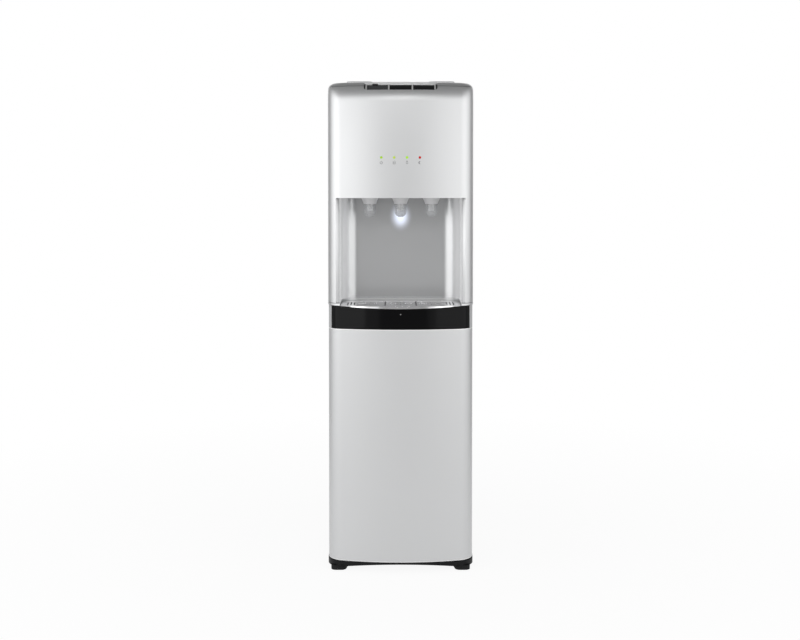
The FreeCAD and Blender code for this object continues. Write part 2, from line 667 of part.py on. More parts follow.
def make_front_fascia():
    """Upper silver moulding: wraps the corners, rounds over at the top, and frames the niche with bevels."""
    shell = head(0).cut(head(MOULD_WALL))
    shell = shell.common(box(-HALF, HALF, FRONT - 1, RETURN_BACK, FASCIA_BOTTOM, FASCIA_TOP))
    open_half = BEVEL_HALF + 1
    shell = shell.cut(box(-open_half, open_half, FRONT - 1, RETURN_BACK + 1, FASCIA_BOTTOM - 1, NICHE_TOP))
    shell = shell.cut(key_opening())
    shell = shell.fuse(niche_bevel(1)).fuse(niche_bevel(-1))
    lip = outline(MOULD_WALL / 2, BODY_BACK, NICHE_TOP, NICHE_TOP + 2)
    lip = lip.cut(outline(MOULD_WALL + CEILING_LIP, BODY_BACK + 1, NICHE_TOP - 1, NICHE_TOP + 3))
    shell = shell.fuse(lip.common(box(-NICHE_HALF, NICHE_HALF, FRONT, RETURN_BACK, NICHE_TOP, NICHE_TOP + 2)))
    for x in lamp_places():
        shell = shell.cut(rod_y(x, LAMP_Z, FRONT - 1, BOARD_FRONT, LAMP_RADIUS + RUNNING_FIT * 2))
    for side in (-1, 1):
        x = side * LAMP_PITCH * 2
        post_front = outline_y(abs(x), MOULD_WALL / 2)
        shell = shell.fuse(rod_y(x, LAMP_Z, post_front, BOARD_FRONT, POST_RADIUS))
    return shell


def niche_bevel(side):
    """Bevelled return lip on one side of the niche, from the front face back to the liner."""
    wall_x = BEVEL_HALF + 1
    inner = NICHE_HALF + 0.5
    points = [
        (wall_x, outline_y(wall_x, 0)),
        (BEVEL_HALF, outline_y(BEVEL_HALF, 0)),
        (inner, outline_y(inner, 0) + BEVEL_DEEP),
        (inner, NICHE_FRONT - GAP),
        (inner + LINER_WALL, NICHE_FRONT - GAP),
        (inner + LINER_WALL, outline_y(inner, 0) + BEVEL_DEEP + 1),
        (wall_x, outline_y(wall_x, MOULD_WALL)),
    ]
    return prism([(side * x, y) for x, y in points], FASCIA_BOTTOM, NICHE_TOP)


def make_top_cover():
    """Top cover: front strip above the fascia, round shoulders, gentle rise to the rear, two low pads."""
    shell = head(0).cut(head(MOULD_WALL))
    strip = box(-HALF, HALF, FRONT - 1, RETURN_BACK + SEAM, FASCIA_TOP + SEAM, HEIGHT)
    rear = box(-HALF, HALF, RETURN_BACK + SEAM, BODY_BACK, SIDE_TOP + SEAM, HEIGHT)
    shell = shell.common(strip.fuse(rear)).cut(key_opening())
    for side in (-1, 1):
        near, far = sorted((side * PAD_INNER_X, side * PAD_OUTER_X))
        pad = box(near, far, PAD_FRONT_Y, PAD_BACK_Y, HEAD_REAR_TOP - 12, HEIGHT)
        uprights = [e for e in pad.Edges if e.BoundBox.ZLength > 5]
        pad = pad.makeFillet(PAD_CORNER, uprights)
        shell = shell.fuse(pad.cut(head(MOULD_WALL)))
    return shell


def make_side_panel(side):
    """Sheet steel side with a rear flange, pierced for the back screws."""
    near, far = sorted((side * HALF, side * (HALF - SHEET)))
    front = RETURN_BACK + 1.5
    panel = box(near, far, front, BODY_BACK, BASE_TOP + GAP, SIDE_TOP)
    near, far = sorted((side * HALF, side * (HALF - FLANGE)))
    panel = panel.fuse(box(near, far, BODY_BACK - SHEET, BODY_BACK, BASE_TOP + GAP, SIDE_TOP))
    for z in SCREW_ROWS:
        panel = panel.cut(rod_y(side * SCREW_X, z, BODY_BACK - 2, BODY_BACK + 1, SCREW_HOLE))
    return panel


def back_sheet(z0, z1):
    """Plain sheet for the back, inside the side flanges, with its screw holes."""
    edge = HALF - SHEET - GAP
    sheet = box(-edge, edge, BACK_SKIN - SHEET, BACK_SKIN, z0, z1)
    for side in (-1, 1):
        for z in SCREW_ROWS:
            sheet = sheet.cut(rod_y(side * SCREW_X, z, BACK_SKIN - 2, BACK_SKIN + 1, SCREW_HOLE))
    return sheet


def make_lower_back_panel():
    """Lower back sheet with two pressed stiffening ribs."""
    sheet = back_sheet(BASE_TOP + GAP, BACK_SPLIT - SEAM)
    inner = BACK_SKIN - SHEET
    half = RIB_WIDE / 2
    for x in (-RIB_X, RIB_X):
        sheet = sheet.fuse(box(x - half, x + half, inner - RIB_DEEP, inner, RIB_LOW, RIB_HIGH))
    return sheet


def make_back_panel():
    """Upper back sheet with rows of vent slots, the switch cut-outs, the drain hole and the cord hole."""
    sheet = back_sheet(BACK_SPLIT, SIDE_TOP)
    near = BACK_SKIN - 2
    far = BACK_SKIN + 1
    slots = []
    for x in (-VENT_SPACING, 0, VENT_SPACING):
        for row in range(VENT_ROWS):
            z = VENT_LOW + row * VENT_PITCH
            slots.append(box(x - VENT_LONG / 2, x + VENT_LONG / 2, near, far, z, z + VENT_TALL))
    sheet = sheet.cut(Part.makeCompound(slots))
    half_wide = SWITCH_HALF_WIDE + GAP
    half_tall = SWITCH_HALF_TALL + GAP
    for x in switch_places():
        hole = box(x - half_wide, x + half_wide, near, far, SWITCH_Z - half_tall, SWITCH_Z + half_tall)
        sheet = sheet.cut(hole)
    sheet = sheet.cut(rod_y(HOT_X, DRAIN_Z, near, far, DRAIN_RADIUS + 1))
    return sheet.cut(rod_y(GLAND_X, GLAND_Z, near, far, GLAND_RADIUS + RUNNING_FIT))


def make_panel_screws():
    """Pan head screws that fix the back sheets to the side flanges."""
    screws = []
    for side in (-1, 1):
        for z in SCREW_ROWS:
            shank = rod_y(side * SCREW_X, z, BACK_SKIN - 5, BODY_BACK, SCREW_RADIUS)
            screws.append(shank.fuse(rod_y(side * SCREW_X, z, BODY_BACK, BODY_BACK + 2, SCREW_RADIUS * 2)))
    return Part.makeCompound(screws)


def make_niche_liner():
    """Silver liner of the niche with large concave corners and a rolled lip at its foot."""
    low = SHELF_Z + SHELF_THICK
    out = NICHE_HALF + LINER_WALL
    liner = bay_outline(out, NICHE_FRONT, NICHE_BACK + LINER_WALL, NICHE_RADIUS + LINER_WALL, low, NICHE_TOP)
    foot_top = low + LINER_FOOT_TALL
    step = LINER_FOOT_STEP
    front = NICHE_FRONT - 1
    liner = liner.cut(bay_outline(NICHE_HALF, front, NICHE_BACK, NICHE_RADIUS, foot_top, NICHE_TOP + 1))
    half = NICHE_HALF - step
    foot = bay_outline(half, front, NICHE_BACK - step, NICHE_RADIUS - step, low - 1, foot_top + 1)
    liner = liner.cut(foot)
    return liner.cut(rod_y(0, LIGHT_Z, NICHE_BACK - 5, NICHE_BACK + 5, LIGHT_RADIUS - 1.5))


def make_night_light():
    """Frosted lens of the night light, set in the liner behind the middle tap."""
    dome = Part.makeSphere(LIGHT_RADIUS, Vector(0, NICHE_BACK + 4, LIGHT_Z))
    dome = dome.common(box(-20, 20, NICHE_BACK - 10, NICHE_BACK, LIGHT_Z - 20, LIGHT_Z + 20))
    stem = rod_y(0, LIGHT_Z, NICHE_BACK, NICHE_BACK + 8, LIGHT_RADIUS - 1.5 - GAP)
    return dome.fuse(stem)


def make_niche_ceiling():
    """Plate over the niche that carries the taps."""
    half = NICHE_HALF + LINER_WALL
    low = NICHE_TOP
    plate = outline(MOULD_WALL + CEILING_LIP + GAP, BODY_BACK, low, low + CEILING_THICK)
    plate = plate.common(box(-half, half, FRONT, NICHE_BACK + LINER_WALL, low, low + CEILING_THICK))
    for x in TAPS.values():
        plate = plate.cut(rod_z(x, TAP_Y, low - 1, low + CEILING_THICK + 1, SPIGOT_RADIUS + GAP))
    return plate


def make_tap_cone(x):
    """Light grey cone under the ceiling, drawn in by a hollow curve to the sleeve."""
    mouth = SLEEVE_RADIUS + GAP / 2
    rim_z = CONE_END_Z + SOCKET_DEEP
    waist = (CONE_TOP_RADIUS + CONE_END_RADIUS) / 2 - 1.0
    middle = (NICHE_TOP + CONE_END_Z) / 2
    top = Vector(CONE_TOP_RADIUS, 0, NICHE_TOP)
    end = Vector(CONE_END_RADIUS, 0, CONE_END_Z)
    curve = Part.Arc(top, Vector(waist, 0, middle), end).toShape()
    points = [end, Vector(mouth, 0, CONE_END_Z), Vector(mouth, 0, rim_z), Vector(SPIGOT_RADIUS, 0, rim_z + 2),
              Vector(SPIGOT_RADIUS, 0, NICHE_TOP), top]
    rest = [Part.LineSegment(a, b).toShape() for a, b in zip(points, points[1:])]
    cone = Part.Face(Part.Wire([curve] + rest)).revolve(Vector(0, 0, 0), Vector(0, 0, 1), 360)
    cone.translate(Vector(x, TAP_Y, 0))
    return cone


def make_tap_sleeve(x):
    """Clear smoke-grey sleeve below the cone with a round end and a mouth for the water."""
    top = CONE_END_Z + SOCKET_DEEP - GAP
    ball_z = SLEEVE_END_Z + math.sqrt(SLEEVE_RADIUS ** 2 - SLEEVE_MOUTH ** 2)
    bore = SLEEVE_RADIUS - SLEEVE_WALL
    centre = Vector(x, TAP_Y, ball_z)
    below = box(x - 20, x + 20, TAP_Y - 20, TAP_Y + 20, SLEEVE_END_Z, ball_z)
    sleeve = rod_z(x, TAP_Y, ball_z, top, SLEEVE_RADIUS).cut(rod_z(x, TAP_Y, ball_z - 1, top + 1, bore))
    ball = Part.makeSphere(SLEEVE_RADIUS, centre).cut(Part.makeSphere(bore, centre)).common(below)
    sleeve = sleeve.fuse(ball).removeSplitter()
    return sleeve.cut(rod_z(x, TAP_Y, SLEEVE_END_Z - 1, ball_z, SLEEVE_MOUTH + GAP))


def make_tap_nozzle(x):
    """Glossy nozzle that ends inside the sleeve. Its collar screws into the valve above the ceiling."""
    collar = SPIGOT_RADIUS - GAP
    neck = NICHE_TOP + CEILING_THICK
    profile = [
        (NOZZLE_BORE, NOZZLE_END_Z), (NOZZLE_RADIUS - 1.5, NOZZLE_END_Z), (NOZZLE_RADIUS, NOZZLE_END_Z + 2.5),
        (NOZZLE_RADIUS, CONE_END_Z + SOCKET_DEEP), (collar, CONE_END_Z + SOCKET_DEEP + 3), (collar, neck),
        (NOZZLE_BORE, neck),
    ]
    return turned(profile, x, TAP_Y)


def make_tap_valves():
    """Three valve bodies on the ceiling: each joins the nozzle, the inlet barb and the push rod's guide."""
    low = NICHE_TOP + CEILING_THICK
    valves = []
    for x in TAPS.values():
        body = rod_z(x, TAP_Y, low, VALVE_TOP - VALVE_SHOULDER, VALVE_RADIUS)
        body = body.fuse(rod_z(x, ROD_Y, low, VALVE_TOP, VALVE_RADIUS - 3))
        body = body.fuse(box(x - 6, x + 6, ROD_Y, TAP_Y, low, VALVE_TOP - 12))
        body = body.fuse(rod_y(x, BARB_Z, TAP_Y, TAP_Y + VALVE_RADIUS + BARB_REACH, BARB_RADIUS))
        body = body.cut(rod_z(x, ROD_Y, VALVE_TOP - 18, VALVE_TOP + 1, ROD_RADIUS + RUNNING_FIT))
        valves.append(body)
    return Part.makeCompound(valves)


def make_push_rod(x):
    """Rod between a key's foot and its valve, with a flat cap at the top."""
    low = VALVE_TOP - 14
    rod = rod_z(x, ROD_Y, low, ROD_TOP - ROD_CAP_THICK, ROD_RADIUS)
    return rod.fuse(rod_z(x, ROD_Y, ROD_TOP - ROD_CAP_THICK, ROD_TOP, ROD_CAP_RADIUS))


def make_key_bezel():
    """Dark frame round the keys: two rounded ends and a rear wall, flush with the head."""
    band = head(GAP).cut(head(BEZEL_DEEP))
    frame = band.common(box(-KEYS_HALF, KEYS_HALF, FRONT - 1, KEYS_BACK, KEYS_BOTTOM, HEIGHT))
    window = DIVIDER_OUTER + DIVIDER_WIDE / 2
    rear = KEYS_BACK - BEZEL_BACK_WALL
    frame = frame.cut(box(-window, window, FRONT - 1, rear, KEYS_BOTTOM - 1, HEIGHT))
    return frame.cut(rod_x(AXLE_Y, AXLE_Z, -KEYS_HALF + 1, KEYS_HALF - 1, AXLE_RADIUS + RUNNING_FIT))


def make_key_dividers():
    """Four light grey ribs between the keys. They carry the axle."""
    band = head(GAP).cut(head(BEZEL_DEEP))
    ribs = []
    for x in (-DIVIDER_OUTER, -DIVIDER_INNER, DIVIDER_INNER, DIVIDER_OUTER):
        near = x - DIVIDER_WIDE / 2
        rear = KEYS_BACK - BEZEL_BACK_WALL
        rib = band.common(box(near, near + DIVIDER_WIDE, FRONT - 1, rear, KEYS_BOTTOM, HEIGHT))
        bore = rod_x(AXLE_Y, AXLE_Z, near - 1, near + DIVIDER_WIDE + 1, AXLE_RADIUS + RUNNING_FIT)
        ribs.append(rib.cut(bore))
    return Part.makeCompound(ribs)


def make_key_axle():
    """Steel axle that the three keys rock on."""
    reach = KEYS_HALF - 1.5
    return rod_x(AXLE_Y, AXLE_Z, -reach, reach, AXLE_RADIUS)


def make_key(x0, x1, foot_x):
    """One push key: a bent tile that follows the rounded edge, with a hub, a web and a foot for the rod."""
    band = head(KEY_INSET).cut(head(KEY_INSET + KEY_WALL))
    rear = KEYS_BACK - BEZEL_BACK_WALL - SEAM * 2
    key = band.common(box(x0, x1, FRONT - 1, rear, KEYS_BOTTOM + GAP, HEIGHT))
    underside = HEAD_FRONT_TOP - KEY_INSET - KEY_WALL
    key = key.fuse(rod_x(AXLE_Y, AXLE_Z, x0, x1, BARREL_RADIUS))
    key = key.fuse(box(x0, x1, AXLE_Y - 2, AXLE_Y + 2, AXLE_Z, underside + 1))
    key = key.fuse(rod_z(foot_x, ROD_Y, ROD_TOP + GAP, underside + 1, KEY_FOOT_RADIUS))
    return key.cut(rod_x(AXLE_Y, AXLE_Z, x0 - 1, x1 + 1, AXLE_RADIUS + RUNNING_FIT))


def lock_slot():
    """Slot in the hot key that the child lock slides in."""
    half = LOCK_STEM / 2 + GAP
    low = HEAD_FRONT_TOP - KEY_INSET - KEY_WALL - 3
    return box(LOCK_X - half, LOCK_X + half, LOCK_Y - half, LOCK_Y + half + LOCK_TRAVEL, low, HEIGHT)


def make_child_lock():
    """Small slide on the hot key with its stem and its foot under the key."""
    top_face = HEAD_FRONT_TOP - KEY_INSET
    underside = top_face - KEY_WALL
    half = LOCK_STEM / 2
    low = top_face + GAP / 2
    knob = box(LOCK_X - LOCK_WIDE / 2, LOCK_X + LOCK_WIDE / 2, LOCK_Y - LOCK_LONG / 2, LOCK_Y + LOCK_LONG / 2,
               low, low + LOCK_TALL)
    rim = [e for e in knob.Edges if e.BoundBox.ZMin > low + LOCK_TALL - 0.01]
    knob = knob.makeFillet(1.4, rim)
    foot_low = underside - LOCK_FOOT
    foot_half = half + LOCK_FOOT
    stem = box(LOCK_X - half, LOCK_X + half, LOCK_Y - half, LOCK_Y + half, foot_low, low + 1)
    foot = box(LOCK_X - foot_half, LOCK_X + foot_half, LOCK_Y - half, LOCK_Y + half,
               foot_low, underside - GAP)
    return knob.fuse(stem).fuse(foot)


def lamp_places():
    """Places of the four lamps across the fascia."""
    return [(n - 1.5) * LAMP_PITCH for n in range(4)]


def make_status_lamps():
    """Four round lamps between the board and the fascia, flush with its face."""
    lamps = []
    for x in lamp_places():
        lamps.append(rod_y(x, LAMP_Z, outline_y(abs(x), 0) - 0.1, BOARD_FRONT, LAMP_RADIUS))
    return Part.makeCompound(lamps)


def make_lamp_board():
    """Board behind the lamps, against the fascia's posts."""
    reach = LAMP_PITCH * 2 + 5
    half = LAMP_BOARD_HALF_TALL
    return box(-reach, reach, BOARD_FRONT, BOARD_FRONT + BOARD_THICK, LAMP_Z - half, LAMP_Z + half)


def make_power_board():
    """Power board on four posts inside the left side panel."""
    wall = SHEET - HALF
    near = wall + POWER_BOARD_POST
    low = POWER_BOARD_LOW
    high = low + POWER_BOARD_TALL
    far = near + BOARD_THICK
    front = POWER_BOARD_FRONT
    long = POWER_BOARD_LONG
    board = box(near, far, front, front + long, low, high)
    for y in (front + POST_RADIUS * 3, front + long - POST_RADIUS * 3):
        for z in (low + POST_RADIUS * 3, high - POST_RADIUS * 3):
            board = board.fuse(rod_x(y, z, wall, near, POST_RADIUS))
    tall = POWER_BOARD_TALL
    transformer = box(near, far + TRANSFORMER_DEEP, front + long * 0.3, front + long * 0.7,
                      low + tall * 0.25, low + tall * 0.5)
    heat_sink = box(near, far + HEAT_SINK_DEEP, front + long * 0.2, front + long * 0.8,
                    low + tall * 0.6, low + tall * 0.85)
    return board.fuse(transformer).fuse(heat_sink)


def make_tank_deck():
    """Steel shelf that carries the tanks."""
    edge = HALF - SHEET - GAP
    back = BACK_SKIN - SHEET - GAP
    front = NICHE_BACK + LINER_WALL + 1
    deck = box(-edge, edge, front, back, TANK_DECK_Z, TANK_DECK_Z + DECK_THICK)
    for side in (-1, 1):
        near, far = sorted((side * edge, side * (edge - SHEET)))
        deck = deck.fuse(box(near, far, front, back, TANK_DECK_Z - DECK_FLANGE, TANK_DECK_Z))
    return deck


def tank_profile(radius, low, high):
    """Half profile of a tank with dished ends."""
    dish = radius * 0.18
    flat = radius * 0.7
    return [(0, low), (flat, low), (radius, low + dish), (radius, high - dish), (flat, high), (0, high)]


def make_cold_tank():
    """Stainless cold tank with dished ends."""
    low = TANK_DECK_Z + DECK_THICK + TANK_LIFT
    return turned(tank_profile(COLD_RADIUS, low, low + COLD_TALL), COLD_X, COLD_Y)


def make_tank_insulation():
    """Foam jacket of the cold tank, open at the top."""
    low = TANK_DECK_Z + DECK_THICK
    bore = COLD_RADIUS + GAP
    out = COLD_RADIUS + FOAM_WALL
    floor = low + TANK_LIFT - GAP
    high = floor + COLD_TALL * 0.85
    profile = [(0, low), (out, low), (out, high), (bore, high), (bore, floor), (0, floor)]
    return turned(profile, COLD_X, COLD_Y)


def make_hot_tank():
    """Hot tank on a ring foot, with its drain pipe through the back."""
    deck = TANK_DECK_Z + DECK_THICK
    low = deck + TANK_LIFT
    tank = turned(tank_profile(HOT_RADIUS, low, low + HOT_TALL), HOT_X, HOT_Y)
    ring = rod_z(HOT_X, HOT_Y, deck, low + 1, HOT_RADIUS * 0.65)
    ring = ring.cut(rod_z(HOT_X, HOT_Y, deck - 1, low, HOT_RADIUS * 0.58))
    pipe = rod_y(HOT_X, DRAIN_Z, HOT_Y, BODY_BACK + DRAIN_REACH, DRAIN_RADIUS)
    band_z = low + HOT_TALL * 0.4
    band = rod_z(HOT_X, HOT_Y, band_z, band_z + HOT_BAND_TALL, HOT_RADIUS + 2)
    return tank.fuse(ring).fuse(pipe).fuse(band)


def make_drain_cap():
    """Ribbed cap on the end of the drain pipe."""
    near = BODY_BACK + 1
    far = near + DRAIN_CAP_LONG
    cap = rod_y(HOT_X, DRAIN_Z, near, far, DRAIN_CAP_RADIUS)
    cap = cap.cut(rod_y(HOT_X, DRAIN_Z, near - 1, BODY_BACK + DRAIN_REACH + GAP, DRAIN_RADIUS + RUNNING_FIT))
    notches = []
    for turn in range(DRAIN_CAP_RIBS):
        angle = 2 * math.pi * turn / DRAIN_CAP_RIBS
        reach = DRAIN_CAP_RADIUS + 0.6
        x = HOT_X + reach * math.cos(angle)
        z = DRAIN_Z + reach * math.sin(angle)
        notches.append(rod_y(x, z, near - 1, far + 1, 1.6))
    return cap.cut(Part.makeCompound(notches))


def make_water_tubes():
    """Silicone tubes that run straight from the hot and cold tanks to their valves."""
    start = TAP_Y + VALVE_RADIUS + BARB_REACH
    foam = COLD_RADIUS + FOAM_WALL
    cold_off = max(0, abs(COLD_X - TAP_PITCH) - TUBE_RADIUS)
    hot_off = max(0, abs(HOT_X + TAP_PITCH) - TUBE_RADIUS)
    cold_end = COLD_Y - math.sqrt(foam ** 2 - cold_off ** 2) - GAP
    hot_end = HOT_Y - math.sqrt(HOT_RADIUS ** 2 - hot_off ** 2) - GAP
    cold = rod_y(TAPS["cold"], BARB_Z, start, cold_end, TUBE_RADIUS)
    hot = rod_y(TAPS["hot"], BARB_Z, start, hot_end, TUBE_RADIUS)
    return Part.makeCompound([hot, cold])


def make_compressor():
    """Welded compressor can on its foot plate, with two pipe stubs and the terminal cover."""
    plate_z = DECK_Z + DECK_THICK + GROMMET_TALL
    low = plate_z + 3
    radius = COMPRESSOR_RADIUS
    high = plate_z + COMPRESSOR_TALL
    seam = low + COMPRESSOR_TALL * 0.5
    profile = [
        (0, low), (radius * 0.75, low), (radius - 3, low + 16), (radius - 3, seam - 3), (radius, seam - 3),
        (radius, seam + 3), (radius - 3, seam + 3), (radius - 3, high - 18), (radius * 0.6, high), (0, high),
    ]
    can = turned(profile, COMPRESSOR_X, COMPRESSOR_Y)
    half_x = radius + 14
    half_y = radius - 6
    plate = box(COMPRESSOR_X - half_x, COMPRESSOR_X + half_x, COMPRESSOR_Y - half_y, COMPRESSOR_Y + half_y,
                plate_z, low)
    plate = plate.makeFillet(12, [e for e in plate.Edges if e.BoundBox.ZLength > 2])
    can = can.fuse(plate)
    for step in (-14, 14):
        can = can.fuse(rod_y(COMPRESSOR_X + step, seam + 24, COMPRESSOR_Y, COMPRESSOR_Y + radius + 6, 4))
    side = COMPRESSOR_X + radius - 6
    cover = box(side, side + 18, COMPRESSOR_Y - 18, COMPRESSOR_Y + 18, seam - 32, seam - 2)
    return can.fuse(cover)


def make_grommets():
    """Rubber grommets between the deck and the compressor's foot plate."""
    low = DECK_Z + DECK_THICK
    high = low + GROMMET_TALL
    waist = (low + high) / 2
    neck = GROMMET_RADIUS - 2.5
    profile = [
        (0, low), (GROMMET_RADIUS, low), (GROMMET_RADIUS, waist - 1.2), (neck, waist),
        (GROMMET_RADIUS, waist + 1.2), (GROMMET_RADIUS, high), (0, high),
    ]
    grommets = []
    for side_x in (-1, 1):
        for side_y in (-1, 1):
            x = COMPRESSOR_X + side_x * (COMPRESSOR_RADIUS + 2)
            y = COMPRESSOR_Y + side_y * (COMPRESSOR_RADIUS - 18)
            grommets.append(turned(profile, x, y))
    return grommets


def make_pump():
    """Small water pump that stands on the deck: foot, motor, head and two barbs."""
    low = DECK_Z + DECK_THICK
    motor_top = low + PUMP_MOTOR_TALL
    high = motor_top + PUMP_HEAD_TALL
    half = PUMP_RADIUS + 2
    barb_z = (motor_top + high) / 2
    pump = box(PUMP_X - half - 3, PUMP_X + half + 3, PUMP_Y - half, PUMP_Y + half, low, low + 2)
    pump = pump.fuse(rod_z(PUMP_X, PUMP_Y, low, motor_top, PUMP_RADIUS * 0.74))
    pump = pump.fuse(rod_z(PUMP_X, PUMP_Y, motor_top, high, PUMP_RADIUS))
    for step in (-8, 8):
        pump = pump.fuse(rod_y(PUMP_X + step, barb_z, PUMP_Y, PUMP_Y + PUMP_RADIUS + BARB_REACH, BARB_RADIUS))
    return pump


def make_filter_drier():
    """Copper filter drier, held upright on the back sheet by its clip."""
    x = COMPRESSOR_X + COMPRESSOR_RADIUS + 22
    y = BACK_SKIN - SHEET - DRIER_RADIUS - 3
    low = DECK_Z + DECK_THICK + 40
    high = low + DRIER_LONG
    taper = DRIER_RADIUS * 0.35
    pipe = DRIER_RADIUS * 1.5
    profile = [
        (0, low - pipe), (taper, low - pipe), (taper, low), (DRIER_RADIUS, low + 8), (DRIER_RADIUS, high - 8),
        (taper, high), (taper, high + pipe), (0, high + pipe),
    ]
    drier = turned(profile, x, y)
    middle = (low + high) / 2
    return drier.fuse(box(x - 4, x + 4, y, BACK_SKIN - SHEET, middle - 6, middle + 6))


def make_bottle_probe():
    """Pick-up tube with its bottle cap. It hangs from its hanger while no bottle is in the bay."""
    cap_low = PROBE_CAP_Z - CAP_TALL
    stub_top = PROBE_CAP_Z + PROBE_STUB
    profile = [
        (0, PROBE_END_Z), (PROBE_RADIUS * 0.6, PROBE_END_Z), (PROBE_RADIUS, PROBE_END_Z + 6),
        (PROBE_RADIUS, cap_low), (CAP_RADIUS, cap_low), (CAP_RADIUS, PROBE_CAP_Z - 2),
        (CAP_RADIUS - 2, PROBE_CAP_Z), (PROBE_RADIUS, PROBE_CAP_Z), (PROBE_RADIUS, stub_top), (0, stub_top),
    ]
    return turned(profile, PROBE_X, PROBE_Y)


def make_probe_hose():
    """Short silicone hose from the probe's cap up through the deck."""
    low = PROBE_CAP_Z + PROBE_STUB + GAP
    high = DECK_Z + HOSE_ABOVE
    hose = rod_z(PROBE_X, PROBE_Y, low, high, HOSE_RADIUS)
    return hose.cut(rod_z(PROBE_X, PROBE_Y, low - 1, high + 1, HOSE_RADIUS - HOSE_WALL))


def make_condenser():
    """Wire-and-tube condenser: one serpentine tube with upright wires on both its faces."""
    tube_y = CONDENSER_BACK - WIRE - COIL_RADIUS
    bend = COIL_PITCH / 2
    edges = []
    for n in range(COIL_PASSES):
        z = COIL_Z + n * COIL_PITCH
        side = 1 if n % 2 == 0 else -1
        start = Vector(-side * COIL_HALF, tube_y, z)
        end = Vector(side * COIL_HALF, tube_y, z)
        edges.append(Part.LineSegment(start, end).toShape())
        if n < COIL_PASSES - 1:
            middle = Vector(side * (COIL_HALF + bend), tube_y, z + bend)
            edges.append(Part.Arc(end, middle, Vector(side * COIL_HALF, tube_y, z + COIL_PITCH)).toShape())
    path = Part.Wire(edges)
    ring = []
    for n in range(8):
        angle = math.pi * (2 * n + 1) / 8
        reach = COIL_RADIUS / math.cos(math.pi / 8)
        ring.append(Vector(-COIL_HALF, tube_y + reach * math.cos(angle), COIL_Z + reach * math.sin(angle)))
    tube = path.makePipeShell([Part.makePolygon(ring + ring[:1])], True, False)
    pieces = [tube]
    high = COIL_Z + COIL_PITCH * (COIL_PASSES - 1)
    for n in range(WIRE_COUNT):
        x = -COIL_HALF + 2 * COIL_HALF * n / (WIRE_COUNT - 1)
        for y in (tube_y - COIL_RADIUS - WIRE, tube_y + COIL_RADIUS):
            pieces.append(box(x - WIRE / 2, x + WIRE / 2, y, y + WIRE, COIL_Z - 8, high + 8))
    return Part.makeCompound(pieces)


def make_condenser_brackets():
    """Four plastic stand-offs, each nested in a bend of the tube, that carry the condenser."""
    tube_y = CONDENSER_BACK - WIRE - COIL_RADIUS
    near = WIRE / 2 + GAP
    far = near + BRACKET_WIDE
    inside = COIL_PITCH / 2 - COIL_RADIUS - GAP
    tall = math.sqrt(inside ** 2 - far ** 2)
    brackets = []
    for side, n in ((1, 2), (-1, 1), (1, COIL_PASSES - 4), (-1, COIL_PASSES - 3)):
        z = COIL_Z + (n + 0.5) * COIL_PITCH
        x0, x1 = sorted((side * (COIL_HALF + near), side * (COIL_HALF + far)))
        brackets.append(box(x0, x1, BACK_SKIN, tube_y + COIL_RADIUS, z - tall, z + tall))
    return Part.makeCompound(brackets)


def switch_places():
    """Places of the three rocker switches across the back."""
    return [SWITCH_MIDDLE_X + n * SWITCH_PITCH for n in (-1, 0, 1)]


def make_switch_bodies():
    """Three snap-in switch housings with a thin frame outside the sheet."""
    wide = SWITCH_HALF_WIDE
    tall = SWITCH_HALF_TALL
    frame = SWITCH_FRAME
    mouth_wide = ROCKER_HALF_WIDE + 0.5
    mouth_tall = ROCKER_HALF_TALL + 0.9
    bodies = []
    for x in switch_places():
        body = box(x - wide, x + wide, BACK_SKIN - SWITCH_DEEP, BACK_SKIN, SWITCH_Z - tall, SWITCH_Z + tall)
        rim = box(x - wide - frame, x + wide + frame, BACK_SKIN, BACK_SKIN + frame,
                  SWITCH_Z - tall - frame, SWITCH_Z + tall + frame)
        mouth = box(x - mouth_wide, x + mouth_wide, BACK_SKIN - SWITCH_DEEP + 6, BACK_SKIN + frame + 1,
                    SWITCH_Z - mouth_tall, SWITCH_Z + mouth_tall)
        bodies.append(body.fuse(rim).cut(mouth))
    return Part.makeCompound(bodies)


def make_rocker(x):
    """Rocker of one switch, tipped to its ON side."""
    pivot_y = BACK_SKIN - ROCKER_PIVOT
    tall = ROCKER_HALF_TALL
    points = [(-tall, 4.5), (0, 3.2), (tall, 4.5), (tall, -0.5), (4, -5), (-4, -5), (-tall, -0.5)]
    corners = [Vector(x - ROCKER_HALF_WIDE, pivot_y + y, SWITCH_Z + z) for z, y in points]
    rocker = Part.Face(Part.makePolygon(corners + corners[:1])).extrude(Vector(ROCKER_HALF_WIDE * 2, 0, 0))
    rocker.rotate(Vector(x, pivot_y, SWITCH_Z), Vector(1, 0, 0), -ROCKER_TILT)
    return rocker


def make_cord_gland():
    """Grommet of the cord inlet, in the back sheet."""
    gland = rod_y(GLAND_X, GLAND_Z, BACK_SKIN - 6, BACK_SKIN + 6, GLAND_RADIUS)
    for y in (BACK_SKIN - SHEET - 2, BACK_SKIN):
        gland = gland.fuse(rod_y(GLAND_X, GLAND_Z, y, y + 2, GLAND_FLANGE))
    return gland.cut(rod_y(GLAND_X, GLAND_Z, BACK_SKIN - 8, BACK_SKIN + 8, GLAND_BORE))


def save(name, shape):
    """Write one node."""
    shape.exportStep("parts/" + name + ".step")


os.makedirs("parts", exist_ok=True)

